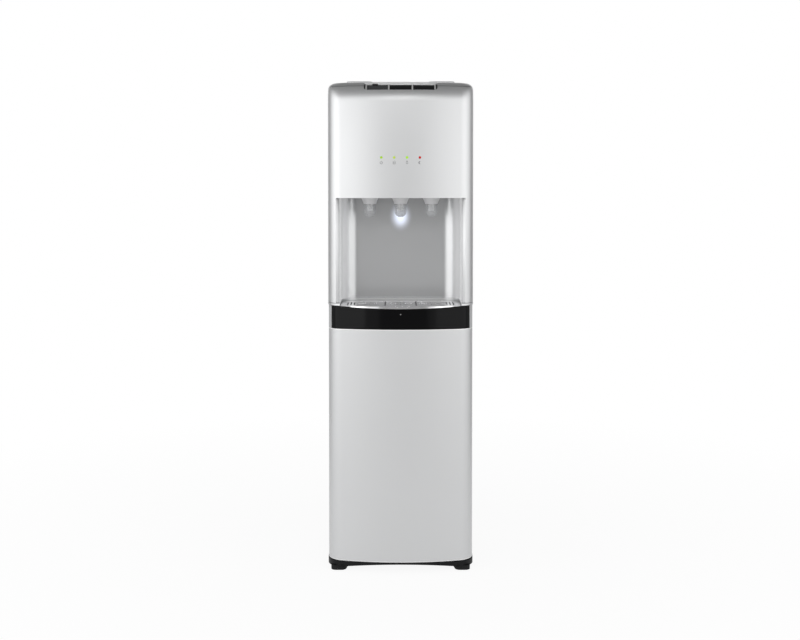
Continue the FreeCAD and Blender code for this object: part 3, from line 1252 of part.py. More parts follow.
save("base_pan", make_base_pan())
save("front_feet", make_front_feet())
save("rear_feet", make_rear_feet())
save("door_shell", make_door_shell())
save("door_inner_panel", make_door_inner_panel())
save("hinge_pins", make_hinge_pins())
save("door_magnet", make_door_magnet())
save("catch_strike", make_catch_strike())
save("bottle_bay", make_bottle_bay())
save("mid_deck", make_mid_deck())
save("tray_shelf", make_tray_shelf())
save("drip_tray", make_drip_tray())
save("tray_front", make_tray_front())
save("tray_marker", make_tray_marker())
save("drip_grille", make_drip_grille())
save("front_fascia", make_front_fascia())
save("top_cover", make_top_cover())
save("left_side_panel", make_side_panel(-1))
save("right_side_panel", make_side_panel(1))
save("lower_back_panel", make_lower_back_panel())
save("back_panel", make_back_panel())
save("panel_screws", make_panel_screws())
save("niche_liner", make_niche_liner())
save("niche_ceiling", make_niche_ceiling())
save("night_light", make_night_light())
save("tap_cones", Part.makeCompound([make_tap_cone(x) for x in TAPS.values()]))
save("tap_sleeves", Part.makeCompound([make_tap_sleeve(x) for x in TAPS.values()]))
save("tap_nozzles", Part.makeCompound([make_tap_nozzle(x) for x in TAPS.values()]))
save("tap_valves", make_tap_valves())
for name, tap_x in TAPS.items():
    save("push_rod_" + name, make_push_rod(tap_x))
save("water_tubes", make_water_tubes())
save("key_bezel", make_key_bezel())
save("key_dividers", make_key_dividers())
save("key_axle", make_key_axle())
side_near = DIVIDER_INNER + DIVIDER_WIDE / 2 + GAP
side_far = DIVIDER_OUTER - DIVIDER_WIDE / 2 - GAP
middle_reach = DIVIDER_INNER - DIVIDER_WIDE / 2 - GAP
save("hot_key", make_key(-side_far, -side_near, TAPS["hot"]).cut(lock_slot()))
save("room_key", make_key(-middle_reach, middle_reach, TAPS["room"]))
save("cold_key", make_key(side_near, side_far, TAPS["cold"]))
save("child_lock", make_child_lock())
save("status_lamps", make_status_lamps())
save("lamp_board", make_lamp_board())
save("power_board", make_power_board())
save("tank_deck", make_tank_deck())
save("cold_tank", make_cold_tank())
save("tank_insulation", make_tank_insulation())
save("hot_tank", make_hot_tank())
save("drain_cap", make_drain_cap())
save("compressor", Part.makeCompound([make_compressor()] + make_grommets()))
save("pump", make_pump())
save("filter_drier", make_filter_drier())
save("bottle_probe", make_bottle_probe())
save("probe_hose", make_probe_hose())
save("condenser", make_condenser())
save("condenser_brackets", make_condenser_brackets())
save("switch_bodies", make_switch_bodies())
for name, switch_x in zip(("heating", "cooling", "light"), switch_places()):
    save("rocker_" + name, make_rocker(switch_x))
save("cord_gland", make_cord_gland())
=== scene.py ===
import math

import bmesh
import bpy
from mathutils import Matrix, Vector


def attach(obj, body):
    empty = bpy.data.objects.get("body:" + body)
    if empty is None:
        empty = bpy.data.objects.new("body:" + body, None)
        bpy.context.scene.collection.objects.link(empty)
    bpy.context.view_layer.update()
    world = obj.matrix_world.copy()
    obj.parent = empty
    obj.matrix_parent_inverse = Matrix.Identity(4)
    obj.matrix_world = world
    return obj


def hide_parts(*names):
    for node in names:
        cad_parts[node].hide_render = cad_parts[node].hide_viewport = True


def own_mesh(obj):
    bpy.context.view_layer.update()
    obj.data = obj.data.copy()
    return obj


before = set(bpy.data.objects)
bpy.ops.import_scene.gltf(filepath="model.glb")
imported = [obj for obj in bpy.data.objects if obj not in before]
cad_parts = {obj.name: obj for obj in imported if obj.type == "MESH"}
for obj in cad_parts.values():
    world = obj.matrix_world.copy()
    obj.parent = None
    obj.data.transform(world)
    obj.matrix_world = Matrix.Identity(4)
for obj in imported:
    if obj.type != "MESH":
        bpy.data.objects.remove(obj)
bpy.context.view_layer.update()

# Camera, floor and light
# The photograph's viewing point, straight in front and a little above the taps. Pale floor and backdrop, soft
# lights at both sides, over the camera and behind, and cards that only reflections see.
bpy.context.scene.view_settings.view_transform = "Standard"


class Signal:
    """A value on its way through a finish. Sums on it add the nodes that work them out."""

    def __init__(self, tree, socket):
        self.tree = tree
        self.socket = socket

    def _sum(self, operation, first, second):
        return build(self.tree, "ShaderNodeMath", {"operation": operation}, {0: first, 1: second})

    def __add__(self, other):
        return self._sum("ADD", self, other)

    def __radd__(self, other):
        return self._sum("ADD", other, self)

    def __sub__(self, other):
        return self._sum("SUBTRACT", self, other)

    def __rsub__(self, other):
        return self._sum("SUBTRACT", other, self)

    def __mul__(self, other):
        return self._sum("MULTIPLY", self, other)

    def __rmul__(self, other):
        return self._sum("MULTIPLY", other, self)

    def __gt__(self, other):
        return self._sum("GREATER_THAN", self, other)


def feed(tree, socket, value):
    """Joins a signal to a socket, or sets a plain value on it."""
    if isinstance(value, Signal):
        tree.links.new(value.socket, socket)
    else:
        socket.default_value = value


def build(tree, kind, settings=None, inputs=None, output=0):
    """Adds one node: its settings first, then what its sockets get. Returns one output."""
    node = tree.nodes.new(kind)
    for name, value in (settings or {}).items():
        if name == "stops":
            ramp = node.color_ramp
            while len(ramp.elements) < len(value):
                ramp.elements.new(0.5)
            for stop, (place, colour) in zip(ramp.elements, value):
                stop.position = place
                stop.color = colour
        elif name == "interpolation":
            node.color_ramp.interpolation = value
        else:
            setattr(node, name, value)
    for name, value in (inputs or {}).items():
        feed(tree, node.inputs[name], value)
    return Signal(tree, node.outputs[output]) if len(node.outputs) else None


def seen_directly(tree):
    """1 for what the camera sees straight, in a mirror or through glass, 0 for light on its way."""
    path = build(tree, "ShaderNodeLightPath")
    outputs = path.socket.node.outputs
    straight = Signal(tree, outputs["Is Camera Ray"])
    reflected = Signal(tree, outputs["Is Glossy Ray"])
    through = Signal(tree, outputs["Is Transmission Ray"])
    return straight + reflected + through > 0.5


def own_place(tree):
    """Where a point lies on its own piece."""
    return build(tree, "ShaderNodeTexCoord", None, None, "Object")


def blend(tree, share, first, second):
    """A colour on the way from the first to the second."""
    return build(tree, "ShaderNodeMix", {"data_type": "RGBA"}, {0: share, 6: first, 7: second}, 2)


def span(tree, value, low, high, at_low=0.0, at_high=1.0, course="LINEAR"):
    """Runs from one level to another while a value goes from low to high, and holds beyond them."""
    return build(tree, "ShaderNodeMapRange", {"interpolation_type": course},
                 {"Value": value, "From Min": low, "From Max": high, "To Min": at_low, "To Max": at_high})


ROOM_GREY = (0.50, 0.50, 0.50, 1)
WHITE = (1, 1, 1, 1)
FULL_STRENGTH = 1.0
room = bpy.data.worlds.new("studio")
bpy.context.scene.world = room
room.use_nodes = True
tree = room.node_tree
tree.nodes.clear()
backdrop = blend(tree, seen_directly(tree), ROOM_GREY, WHITE)
shade = build(tree, "ShaderNodeBackground", None, {"Color": backdrop, "Strength": FULL_STRENGTH})
build(tree, "ShaderNodeOutputWorld", None, {"Surface": shade})

FLOOR_RADIUS = 6.0
FLOOR_SIDES = 96
PAPER_WHITE = (0.86, 0.86, 0.86, 1)
SHADOW_REACH = 0.35
WHITE_REACH = 1.6
NEAR_WHITE = 0.92
bpy.ops.object.select_all(action="DESELECT")
bpy.ops.mesh.primitive_circle_add(vertices=FLOOR_SIDES, radius=FLOOR_RADIUS, fill_type="NGON",
                                  location=(0, 0, 0))
floor = bpy.context.object
floor.name = "floor"
paper = bpy.data.materials.new("white_paper")
paper.use_nodes = True
tree = paper.node_tree
tree.nodes.clear()
reach = build(tree, "ShaderNodeVectorMath", {"operation": "LENGTH"}, {0: own_place(tree)}, "Value")
fade = span(tree, reach, SHADOW_REACH, WHITE_REACH, NEAR_WHITE, 1.0)
lit = build(tree, "ShaderNodeBsdfDiffuse", None, {"Color": PAPER_WHITE})
plain = build(tree, "ShaderNodeEmission", None, {"Color": WHITE, "Strength": FULL_STRENGTH})
both = build(tree, "ShaderNodeMixShader", None, {0: seen_directly(tree) * fade, 1: lit, 2: plain})
build(tree, "ShaderNodeOutputMaterial", None, {"Surface": both})
floor.data.materials.append(paper)


def lamp(name, place, aim, wide, tall, watts):
    """One soft rectangular light, turned towards a point."""
    panel = bpy.data.lights.new(name, "AREA")
    panel.shape = "RECTANGLE"
    panel.size = wide
    panel.size_y = tall
    panel.energy = watts
    holder = bpy.data.objects.new(name, panel)
    bpy.context.scene.collection.objects.link(holder)
    holder.location = place
    along_x, along_y, along_z = [b - a for a, b in zip(place, aim)]
    tilt = math.atan2(math.hypot(along_x, along_y), -along_z)
    holder.rotation_euler = (tilt, 0, math.atan2(along_y, along_x) - math.pi / 2)


HEAD_AIM = (0, -0.1, 0.95)
NICHE_AIM = (0, -0.1, 0.75)
SIDE_AIM = (0, -0.1, 0.85)
BACK_AIM = (0, 0.1, 0.6)
lamp("light_over_camera", (0, -3.0, 2.05), HEAD_AIM, wide=1.0, tall=0.35, watts=9)
lamp("light_left_front", (-1.75, -1.75, 0.95), NICHE_AIM, wide=2.5, tall=1.6, watts=17)
lamp("light_right_front", (1.75, -1.75, 0.95), NICHE_AIM, wide=2.5, tall=1.6, watts=12)
lamp("light_left_side", (-1.05, -0.30, 0.98), SIDE_AIM, wide=0.75, tall=0.95, watts=1.8)
lamp("light_right_side", (1.05, -0.30, 0.98), SIDE_AIM, wide=0.75, tall=0.95, watts=1.2)
lamp("light_behind", (0, 2.4, 1.3), BACK_AIM, wide=2.0, tall=1.2, watts=9)


def card(name, place, wide, deep, tall, finish):
    """A card of the studio, which only reflections see."""
    bpy.ops.object.select_all(action="DESELECT")
    bpy.ops.mesh.primitive_cube_add(size=1, location=place, scale=(wide, deep, tall))
    board = bpy.context.object
    board.name = name
    board.data.materials.append(finish)
    board.visible_camera = False
    board.visible_diffuse = False
    board.visible_shadow = False
    board.visible_transmission = False


CARD_BLACK = (0.03, 0.03, 0.03, 1)
CARD_GREY = (0.38, 0.38, 0.38, 1)
CARD_THICK = 0.02
card_black = bpy.data.materials.new("card_black")
card_black.use_nodes = True
card_black.node_tree.nodes["Principled BSDF"].inputs["Base Color"].default_value = CARD_BLACK
card_grey = bpy.data.materials.new("card_grey")
card_grey.use_nodes = True
tree = card_grey.node_tree
tree.nodes.clear()
dim = build(tree, "ShaderNodeEmission", None, {"Color": CARD_GREY, "Strength": FULL_STRENGTH})
build(tree, "ShaderNodeOutputMaterial", None, {"Surface": dim})
card("card_over", (0, -0.15, 2.35), wide=4.2, deep=5.0, tall=CARD_THICK, finish=card_black)
card("card_camera", (0.12, -3.6, 1.15), wide=1.7, deep=CARD_THICK, tall=2.3, finish=card_grey)
card("card_left", (-1.2, 0.75, 0.9), wide=CARD_THICK, deep=1.1, tall=2.0, finish=card_black)
card("card_right", (1.2, 0.75, 0.9), wide=CARD_THICK, deep=1.1, tall=2.0, finish=card_black)

EYE_PLACE = (0, -2.780, 0.8396)
EYE_TILT = math.radians(88.2)
EYE_LENS = 55.9
EYE_SHIFT_X = -0.00075
EYE_SHIFT_Y = -0.132
SENSOR_WIDE = 36
eye = bpy.data.cameras.new("viewing_point")
eye.sensor_width = SENSOR_WIDE
eye.lens = EYE_LENS
eye.shift_x = EYE_SHIFT_X
eye.shift_y = EYE_SHIFT_Y
eye_holder = bpy.data.objects.new("viewing_point", eye)
bpy.context.scene.collection.objects.link(eye_holder)
eye_holder.location = EYE_PLACE
eye_holder.rotation_euler = (EYE_TILT, 0, 0)
bpy.context.scene.camera = eye_holder

# Head skin and front fascia
# The fascia is one injection moulding in silver paint. It wraps the front corners, rounds over softly at
# the top, and frames the niche with two bevelled return lips. It clips to the side panels.
HALF = 0.155
FRONT = -0.180
BODY_BACK = 0.150
RETURN_BACK = -0.105
WALL = 0.0025
ARC_RADIUS = 0.500
CORNER_RADIUS = 0.040
CORNER_X = HALF - CORNER_RADIUS
CORNER_Y = FRONT + ARC_RADIUS - math.sqrt((ARC_RADIUS - CORNER_RADIUS) ** 2 - CORNER_X ** 2)
ARC_TURN = math.asin(CORNER_X / (ARC_RADIUS - CORNER_RADIUS))
PLAN_STEPS = 16
POINT = 0.001
NEAR = 0.0001
MERGE = 0.00001
MERGE_WIDE = 0.00002
ROUND_SIDES = 32
ALONG_X = (0, math.pi / 2, 0)
ALONG_Y = (math.pi / 2, 0, 0)
UPRIGHT = 0.9
SHARP = math.radians(40)
ROUND_TO = 32
NORMAL_WEIGHT = 50
BACKWARD = 0.2


def front_y(x):
    """Front of the plan at a distance x from the middle."""
    if abs(x) <= ARC_RADIUS * math.sin(ARC_TURN):
        return FRONT + ARC_RADIUS - math.sqrt(ARC_RADIUS ** 2 - x ** 2)
    return CORNER_Y - math.sqrt(CORNER_RADIUS ** 2 - (abs(x) - CORNER_X) ** 2)


def begin(kind, **sizes):
    """Adds a primitive alone, with its place in its mesh, and opens it for editing."""
    bpy.ops.object.select_all(action="DESELECT")
    getattr(bpy.ops.mesh, "primitive_" + kind + "_add")(**sizes)
    bpy.ops.object.transform_apply(location=True, rotation=True, scale=True)
    bpy.ops.object.mode_set(mode="EDIT")
    bpy.context.tool_settings.mesh_select_mode = (True, False, False)
    return bpy.context.object


def begin_point(place):
    """Opens a new piece that is one point, to be drawn out into a line."""
    piece = begin("plane", size=POINT, location=place)
    bpy.ops.mesh.merge(type="CENTER")
    return piece


def draw(x, y, z):
    """Draws what is selected out by a distance."""
    bpy.ops.mesh.extrude_region_move(TRANSFORM_OT_translate={"value": (x, y, z)})


def pick(kind, test):
    """In edit mode, selects the corners or edges whose middle passes the test."""
    bpy.ops.mesh.select_all(action="DESELECT")
    bpy.context.tool_settings.mesh_select_mode = (kind == "verts", kind == "edges", False)
    shape = bmesh.from_edit_mesh(bpy.context.object.data)
    for part in getattr(shape, kind):
        middle = part.co if kind == "verts" else (part.verts[0].co + part.verts[1].co) / 2
        if test(middle, part):
            part.select_set(True)
    bmesh.update_edit_mesh(bpy.context.object.data)


def slice_off(point, direction, keep=False, fill=False):
    """Cuts the open piece by a plane, and takes away what lies beyond it."""
    bpy.ops.mesh.select_all(action="SELECT")
    bpy.ops.mesh.bisect(plane_co=point, plane_no=direction, clear_outer=not keep, use_fill=fill)


def close(merge=MERGE):
    """Merges doubles, turns the faces outwards and leaves edit mode."""
    bpy.ops.mesh.select_all(action="SELECT")
    bpy.ops.mesh.remove_doubles(threshold=merge)
    bpy.ops.mesh.normals_make_consistent(inside=False)
    bpy.ops.object.mode_set(mode="OBJECT")


def only(piece):
    """Makes a piece the one that is selected and active."""
    bpy.ops.object.select_all(action="DESELECT")
    piece.select_set(True)
    bpy.context.view_layer.objects.active = piece


def reopen(piece):
    """Opens a piece for editing again, with all of it selected."""
    only(piece)
    bpy.ops.object.mode_set(mode="EDIT")
    bpy.ops.mesh.select_all(action="SELECT")


def apply(piece, kind, **settings):
    """Adds a modifier, sets it and applies it."""
    only(piece)
    change = piece.modifiers.new(kind.lower(), kind)
    for name, value in settings.items():
        setattr(change, name, value)
    bpy.ops.object.modifier_apply(modifier=change.name)
    return piece


def mirrored(piece):
    """Adds the left half to a right half that ends at the middle plane."""
    return apply(piece, "MIRROR", use_axis=(True, False, False), merge_threshold=MERGE_WIDE)


def thick(piece, wall):
    """Gives an open skin its wall, inwards."""
    return apply(piece, "SOLIDIFY", thickness=wall, offset=-1.0, use_even_offset=True, use_rim=True)


def softened(piece, width, segments=2):
    """Breaks the sharp edges as the tool of a moulding does."""
    return apply(piece, "BEVEL", width=width, segments=segments, limit_method="ANGLE", angle_limit=SHARP,
                 harden_normals=False)


def cut_by(piece, cutter, operation="DIFFERENCE"):
    """Cuts a piece by another, or joins the two, and takes the tool away."""
    apply(piece, "BOOLEAN", operation=operation, object=cutter, solver="EXACT")
    bpy.data.objects.remove(cutter)
    return piece


def block(x0, x1, y0, y1, z0, z1, edge=0.0, segments=3):
    """A plain block, with its upright edges rounded where edge is given."""
    x0, x1 = sorted((x0, x1))
    piece = begin("cube", size=1, location=((x0 + x1) / 2, (y0 + y1) / 2, (z0 + z1) / 2),
                  scale=(x1 - x0, y1 - y0, z1 - z0))
    if edge:
        pick("edges", lambda middle, part: abs((part.verts[0].co - part.verts[1].co).z) > (z1 - z0) * UPRIGHT)
        bpy.ops.mesh.bevel(offset=edge, segments=segments, affect="EDGES")
    close()
    return piece


def cylinder(place, radius, deep, turn=(0, 0, 0), sides=ROUND_SIDES):
    """A cylinder, upright or turned to lie along another axis."""
    piece = begin("cylinder", vertices=sides, radius=radius, depth=deep, location=place, rotation=turn)
    close()
    return piece


def copied(piece):
    """A second piece with its own mesh."""
    twin = piece.copy()
    twin.data = piece.data.copy()
    bpy.context.scene.collection.objects.link(twin)
    return twin


def joined(first, *others):
    """Makes one piece of several."""
    only(first)
    for other in others:
        other.select_set(True)
    bpy.ops.object.join()
    return first


def shaded(piece, angle=ROUND_TO, flat=True):
    """Shades round faces round, and keeps wide flat ones flat where a piece has them."""
    only(piece)
    bpy.ops.object.shade_smooth_by_angle(angle=math.radians(angle))
    if flat:
        apply(piece, "WEIGHTED_NORMAL", keep_sharp=True, weight=NORMAL_WEIGHT)


def finished(piece, name, finish, body, slot, *nodes, angle=ROUND_TO, flat=True):
    """Names a piece, gives it its finish, and hangs it on its body."""
    piece.name = name
    piece.data.name = name
    piece.data.materials.clear()
    piece.data.materials.append(finish)
    shaded(piece, angle, flat)
    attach(piece, body)
    if nodes:
        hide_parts(*nodes)
    return piece


def half_plan(inset, back, low):
    """Right half of the plan as one line: a point spun along the front arc and round the corner."""
    piece = begin_point((0, FRONT + inset, low))
    arc_middle = (0, FRONT + ARC_RADIUS, low)
    corner_middle = (CORNER_X, CORNER_Y, low)
    bpy.ops.mesh.spin(steps=PLAN_STEPS, angle=-ARC_TURN, center=arc_middle, axis=(0, 0, 1))
    bpy.ops.mesh.spin(steps=PLAN_STEPS, angle=ARC_TURN - math.pi / 2, center=corner_middle, axis=(0, 0, 1))
    if back > CORNER_Y:
        draw(0, back - CORNER_Y, 0)
    return piece


def band(inset, wall, x_limit, back, low, high, x_from=0.0):
    """A strip of the front skin, bent along the plan, between two heights."""
    piece = half_plan(inset, back, low)
    bpy.ops.mesh.select_all(action="SELECT")
    draw(0, 0, high - low)
    if x_limit < HALF - inset:
        slice_off((x_limit, 0, 0), (1, 0, 0))
    if x_from:
        slice_off((x_from, 0, 0), (-1, 0, 0))
    close()
    reopen(mirrored(piece))
    if any(face.normal.y > BACKWARD for face in bmesh.from_edit_mesh(piece.data).faces):
        bpy.ops.mesh.flip_normals()
    bpy.ops.object.mode_set(mode="OBJECT")
    return thick(piece, wall)


HEAD_LOW = 0.5696
HEAD_TOP = 1.037
CREST = 1.0490
CREST_FROM = -0.1060
CREST_LONG = 0.125
CREST_HALF = 0.128
CREST_FLANK = 0.030
CREST_STEPS = 6
FRONT_ROUND = 0.041
SIDE_ROUND = 0.015
LEAST_ROUND = 0.0015
ROUND_STEPS = 12


def ease(share):
    """A share from 0 to 1 that starts and ends softly."""
    share = min(1.0, max(0.0, share))
    return share * share * (3 - 2 * share)


def head_skin(inset):
    """Outer skin of the head as drawn: straight sides, a soft roll at the top and a crown that rises back."""
    wide = HALF - inset
    deep = BODY_BACK - FRONT - 2 * inset
    back = BODY_BACK - inset
    piece = half_plan(inset, back, HEAD_LOW)
    top = HEAD_TOP - inset
    front_roll = FRONT_ROUND - inset
    side_roll = max(SIDE_ROUND - inset, LEAST_ROUND)
    bpy.ops.mesh.select_all(action="SELECT")
    draw(0, 0, top - front_roll - HEAD_LOW)
    side_was, front_was, z_was = 0.0, 0.0, top - front_roll
    for step in range(1, ROUND_STEPS + 1):
        lean = math.pi / 2 * step / ROUND_STEPS
        front_in = front_roll * (1 - math.cos(lean))
        z = top - front_roll + front_roll * math.sin(lean)
        above = max(0.0, z - (top - side_roll))
        side_in = side_roll - math.sqrt(max(0.0, side_roll ** 2 - above ** 2))
        draw(0, 0, z - z_was)
        share = ((wide - side_in) / (wide - side_was), (deep - front_in) / (deep - front_was), 1)
        bpy.ops.transform.resize(value=share, center_override=(0, back, z))
        side_was, front_was, z_was = side_in, front_in, z
    pick("edges", lambda middle, part: all(end.co.y > back - NEAR for end in part.verts))
    bpy.ops.mesh.extrude_region()
    bpy.ops.transform.resize(value=(0, 1, 1), center_override=(0, 0, 0))
    pick("edges", lambda middle, part: all(end.co.z > top - NEAR for end in part.verts))
    bpy.ops.mesh.edge_face_add()
    for step in range(CREST_STEPS + 1):
        slice_off((CREST_HALF - inset - CREST_FLANK * step / CREST_STEPS, 0, 0), (1, 0, 0), keep=True)
        slice_off((0, CREST_FROM + CREST_LONG * step / CREST_STEPS, 0), (0, 1, 0), keep=True)
    shape = bmesh.from_edit_mesh(piece.data)
    for corner in shape.verts:
        if corner.co.z > top - NEAR:
            back_share = ease((corner.co.y - CREST_FROM) / CREST_LONG)
            side_share = ease((CREST_HALF - inset - corner.co.x) / CREST_FLANK)
            corner.co.z += (CREST - HEAD_TOP) * back_share * side_share
    bmesh.update_edit_mesh(piece.data)
    close()
    return mirrored(piece)


def facing_out(piece, middle):
    """Turns an open skin so that its faces look away from a point inside it."""
    reopen(piece)
    bpy.ops.mesh.normals_make_consistent(inside=False)
    shape = bmesh.from_edit_mesh(piece.data)
    outward = sum((f.calc_center_median() - middle).dot(f.normal) * f.calc_area() for f in shape.faces)
    if outward < 0:
        bpy.ops.mesh.flip_normals()
    bpy.ops.object.mode_set(mode="OBJECT")
    return piece


HEAD_MIDDLE = Vector((0, 0, 0.8))
skin = facing_out(head_skin(0.0), HEAD_MIDDLE)
shell = thick(copied(skin), WALL)

FASCIA_TOP = 1.0276
SEAM = 0.0008
SIDE_TOP = 1.0162
BEYOND = 0.2
BELOW_HEAD = 0.5
ABOVE_HEAD = 1.06
NICHE_HALF = 0.137
NICHE_TOP = 0.792
NICHE_MOUTH = -0.1473
fascia = cut_by(copied(shell), block(-BEYOND, BEYOND, -BEYOND, RETURN_BACK, BELOW_HEAD, FASCIA_TOP),
                "INTERSECT")
cut_by(fascia, block(-NICHE_HALF, NICHE_HALF, -BEYOND, RETURN_BACK + 2 * WALL, BELOW_HEAD, NICHE_TOP))
KEYS_HALF = 0.0777
KEYS_LOW = 1.0190
KEYS_BACK = -0.1067
KEYS_CORNER = 0.0060
KEYS_CORNER_STEPS = 6


def keys_opening():
    """Cutter for the opening that the keys stand in, with its lower corners rounded."""
    piece = begin("cube", size=1, location=(0, (KEYS_BACK - BEYOND) / 2, (KEYS_LOW + ABOVE_HEAD) / 2),
                  scale=(2 * KEYS_HALF, BEYOND + KEYS_BACK, ABOVE_HEAD - KEYS_LOW))
    pick("edges", lambda middle, part: middle.z < KEYS_LOW + NEAR and abs(middle.x) > KEYS_HALF - NEAR)
    bpy.ops.mesh.bevel(offset=KEYS_CORNER, segments=KEYS_CORNER_STEPS, affect="EDGES")
    close()
    return piece


cut_by(fascia, keys_opening())

LIP_X = 0.1372
LIP_PROUD = 0.0002
LIP_SLANT_X = 0.0064
LIP_SLANT_Y = 0.0050
LIP_DRAFT = 0.0005
LIP_WALL = 0.0021
LIP_OUTSIDE = 0.16
MOULD_EDGE = 0.0004


def bevel_lip(side):
    """Return lip at one side of the niche: a slanted strip, then a flat one back to the liner."""
    start = front_y(LIP_X) + LIP_PROUD
    piece = begin_point((side * LIP_X, start, HEAD_LOW))
    draw(side * -LIP_SLANT_X, LIP_SLANT_Y, 0)
    draw(side * -LIP_DRAFT, NICHE_MOUTH - start - LIP_SLANT_Y, 0)
    bpy.ops.mesh.select_all(action="SELECT")
    draw(0, 0, NICHE_TOP - HEAD_LOW)
    bpy.ops.object.mode_set(mode="OBJECT")
    facing_out(piece, Vector((side * LIP_OUTSIDE, NICHE_MOUTH, (HEAD_LOW + NICHE_TOP) / 2)))
    return softened(thick(piece, LIP_WALL), MOULD_EDGE)


LAMP_Z = 0.877
LAMP_PITCH = 0.0269
LAMP_HOLE = 0.0027
LAMP_HOLE_DEEP = 0.02
lamp_places = [(n - 1.5) * LAMP_PITCH for n in range(4)]
for x in lamp_places:
    cut_by(fascia, cylinder((x, front_y(x), LAMP_Z), LAMP_HOLE, LAMP_HOLE_DEEP, ALONG_Y))
fascia = joined(fascia, bevel_lip(1), bevel_lip(-1))


def finish_base(name):
    """An empty finish with its shader, its tree and the piece's own place as a pattern's ground."""
    made = bpy.data.materials.new(name)
    made.use_nodes = True
    tree = made.node_tree
    return made, tree, tree.nodes["Principled BSDF"], own_place(tree)


def noise(tree, ground, scale, detail=2.0):
    """A soft random pattern."""
    return build(tree, "ShaderNodeTexNoise", None, {"Vector": ground, "Scale": scale, "Detail": detail})


def tint(tree, share, dark, light):
    """A colour between a dark and a light one."""
    return blend(tree, share, (*dark, 1), (*light, 1))


def relief(tree, shader, height, strength, distance):
    """Fine unevenness that only the light shows."""
    bump = build(tree, "ShaderNodeBump", None, {"Height": height, "Strength": strength, "Distance": distance})
    feed(tree, shader.inputs["Normal"], bump)


CLOUD_SCALE = 9.0
CLOUD_DETAIL = 3.0
CLOUD_SHARE = 0.6
GRAIN_SCALE = 900.0
GRAIN_DETAIL = 1.0
FLAKE_SCALE = 1600.0
FLAKE_MIDDLE = 0.4
SHINE_SPREAD = 0.16
PEEL_SCALE = 420.0
PEEL_DEEP = 0.0002


def coated(name, colour, roughness, metallic=0.0, specular=0.5, spread=0.03, peel=0.03, flake=0.0):
    """Painted or moulded finish: slight clouding, a fine skin texture and, in metallic paint, flakes."""
    made, tree, shader, ground = finish_base(name)
    clouds = noise(tree, ground, CLOUD_SCALE, CLOUD_DETAIL)
    level = clouds * CLOUD_SHARE + noise(tree, ground, GRAIN_SCALE, GRAIN_DETAIL) * (1 - CLOUD_SHARE)
    if flake:
        specks = build(tree, "ShaderNodeTexVoronoi", None, {"Vector": ground, "Scale": FLAKE_SCALE})
        level = level + (specks - FLAKE_MIDDLE) * flake
    dark = [c * (1 - spread) for c in colour]
    light = [min(1.0, c * (1 + spread)) for c in colour]
    shine = roughness * (1 - SHINE_SPREAD / 2) + clouds * (roughness * SHINE_SPREAD)
    feed(tree, shader.inputs["Base Color"], tint(tree, level, dark, light))
    feed(tree, shader.inputs["Roughness"], shine)
    shader.inputs["Metallic"].default_value = metallic
    shader.inputs["Specular IOR Level"].default_value = specular
    relief(tree, shader, noise(tree, ground, PEEL_SCALE), peel, PEEL_DEEP)
    return made


silver_paint = coated("silver_paint", (0.60, 0.605, 0.61), 0.42, 0.65, 0.5, 0.035, 0.02, 0.08)
finished(fascia, "fascia_moulding", silver_paint, "cabinet", "silver", "front_fascia", angle=30, flat=False)

# Top cover
# One silver moulding: a narrow strip over the fascia, round shoulders, a crown that rises to the rear,
# and two low pads. It snaps on the side panels.
PAD_NEAR = 0.062
PAD_FAR = 0.119
PAD_FRONT = -0.040
PAD_BACK = 0.100
PAD_FOOT = 1.0390
PAD_TOP = 1.0500
PAD_FRONT_TOP = 1.0462
PAD_SPARE = 0.001
PAD_CORNER = 0.012
PAD_EDGE = 0.0018
top_cover = cut_by(copied(shell),
                   block(-BEYOND, BEYOND, -BEYOND, RETURN_BACK + SEAM, BELOW_HEAD, FASCIA_TOP + SEAM))
cut_by(top_cover, block(-BEYOND, BEYOND, RETURN_BACK, BEYOND, BELOW_HEAD, SIDE_TOP + SEAM))
cut_by(top_cover, keys_opening())
for side in (-1, 1):
    pad = block(side * PAD_NEAR, side * PAD_FAR, PAD_FRONT, PAD_BACK, PAD_FOOT, PAD_TOP + PAD_SPARE,
                edge=PAD_CORNER, segments=6)
    reopen(pad)
    slice_off((0, PAD_BACK, PAD_TOP), (0, PAD_FRONT_TOP - PAD_TOP, PAD_BACK - PAD_FRONT), fill=True)
    close()
    softened(pad, PAD_EDGE, segments=4)
    top_cover = cut_by(top_cover, pad, "UNION")
finished(top_cover, "top_cover_moulding", silver_paint, "cabinet", "silver", "top_cover", angle=24,
         flat=False)

# Push keys with their bezel and ribs
# Three black keys rock on one steel axle behind the rounded edge: hot at the left with a small child lock
# slide, room in the middle, cold at the right. A dark bezel closes the opening; light grey ribs part them.
key_black = coated("key_black", (0.012, 0.012, 0.013), 0.10, 0.0, 0.45, 0.05, 0.01)
key_grey = coated("key_grey", (0.050, 0.051, 0.053), 0.22, 0.0, 0.45, 0.06, 0.02)
bezel_grey = coated("bezel_grey", (0.030, 0.030, 0.031), 0.35, 0.0, 0.40, 0.06, 0.06)
rib_grey = coated("rib_grey", (0.46, 0.46, 0.46), 0.34, 0.0, 0.50, 0.03, 0.04)
KEYS_MIDDLE = Vector((0, -0.12, 1.0))


def head_slice(inset, wall, x0, x1, back, low):
    """A piece of the head's own curved skin, set in and given a wall."""
    piece = head_skin(inset)
    bpy.ops.object.mode_set(mode="EDIT")
    slice_off((x0, 0, 0), (-1, 0, 0))
    slice_off((x1, 0, 0), (1, 0, 0))
    slice_off((0, back, 0), (0, 1, 0))
    slice_off((0, 0, low), (0, 0, -1))
    bpy.ops.object.mode_set(mode="OBJECT")
    facing_out(piece, KEYS_MIDDLE)
    return thick(piece, wall)


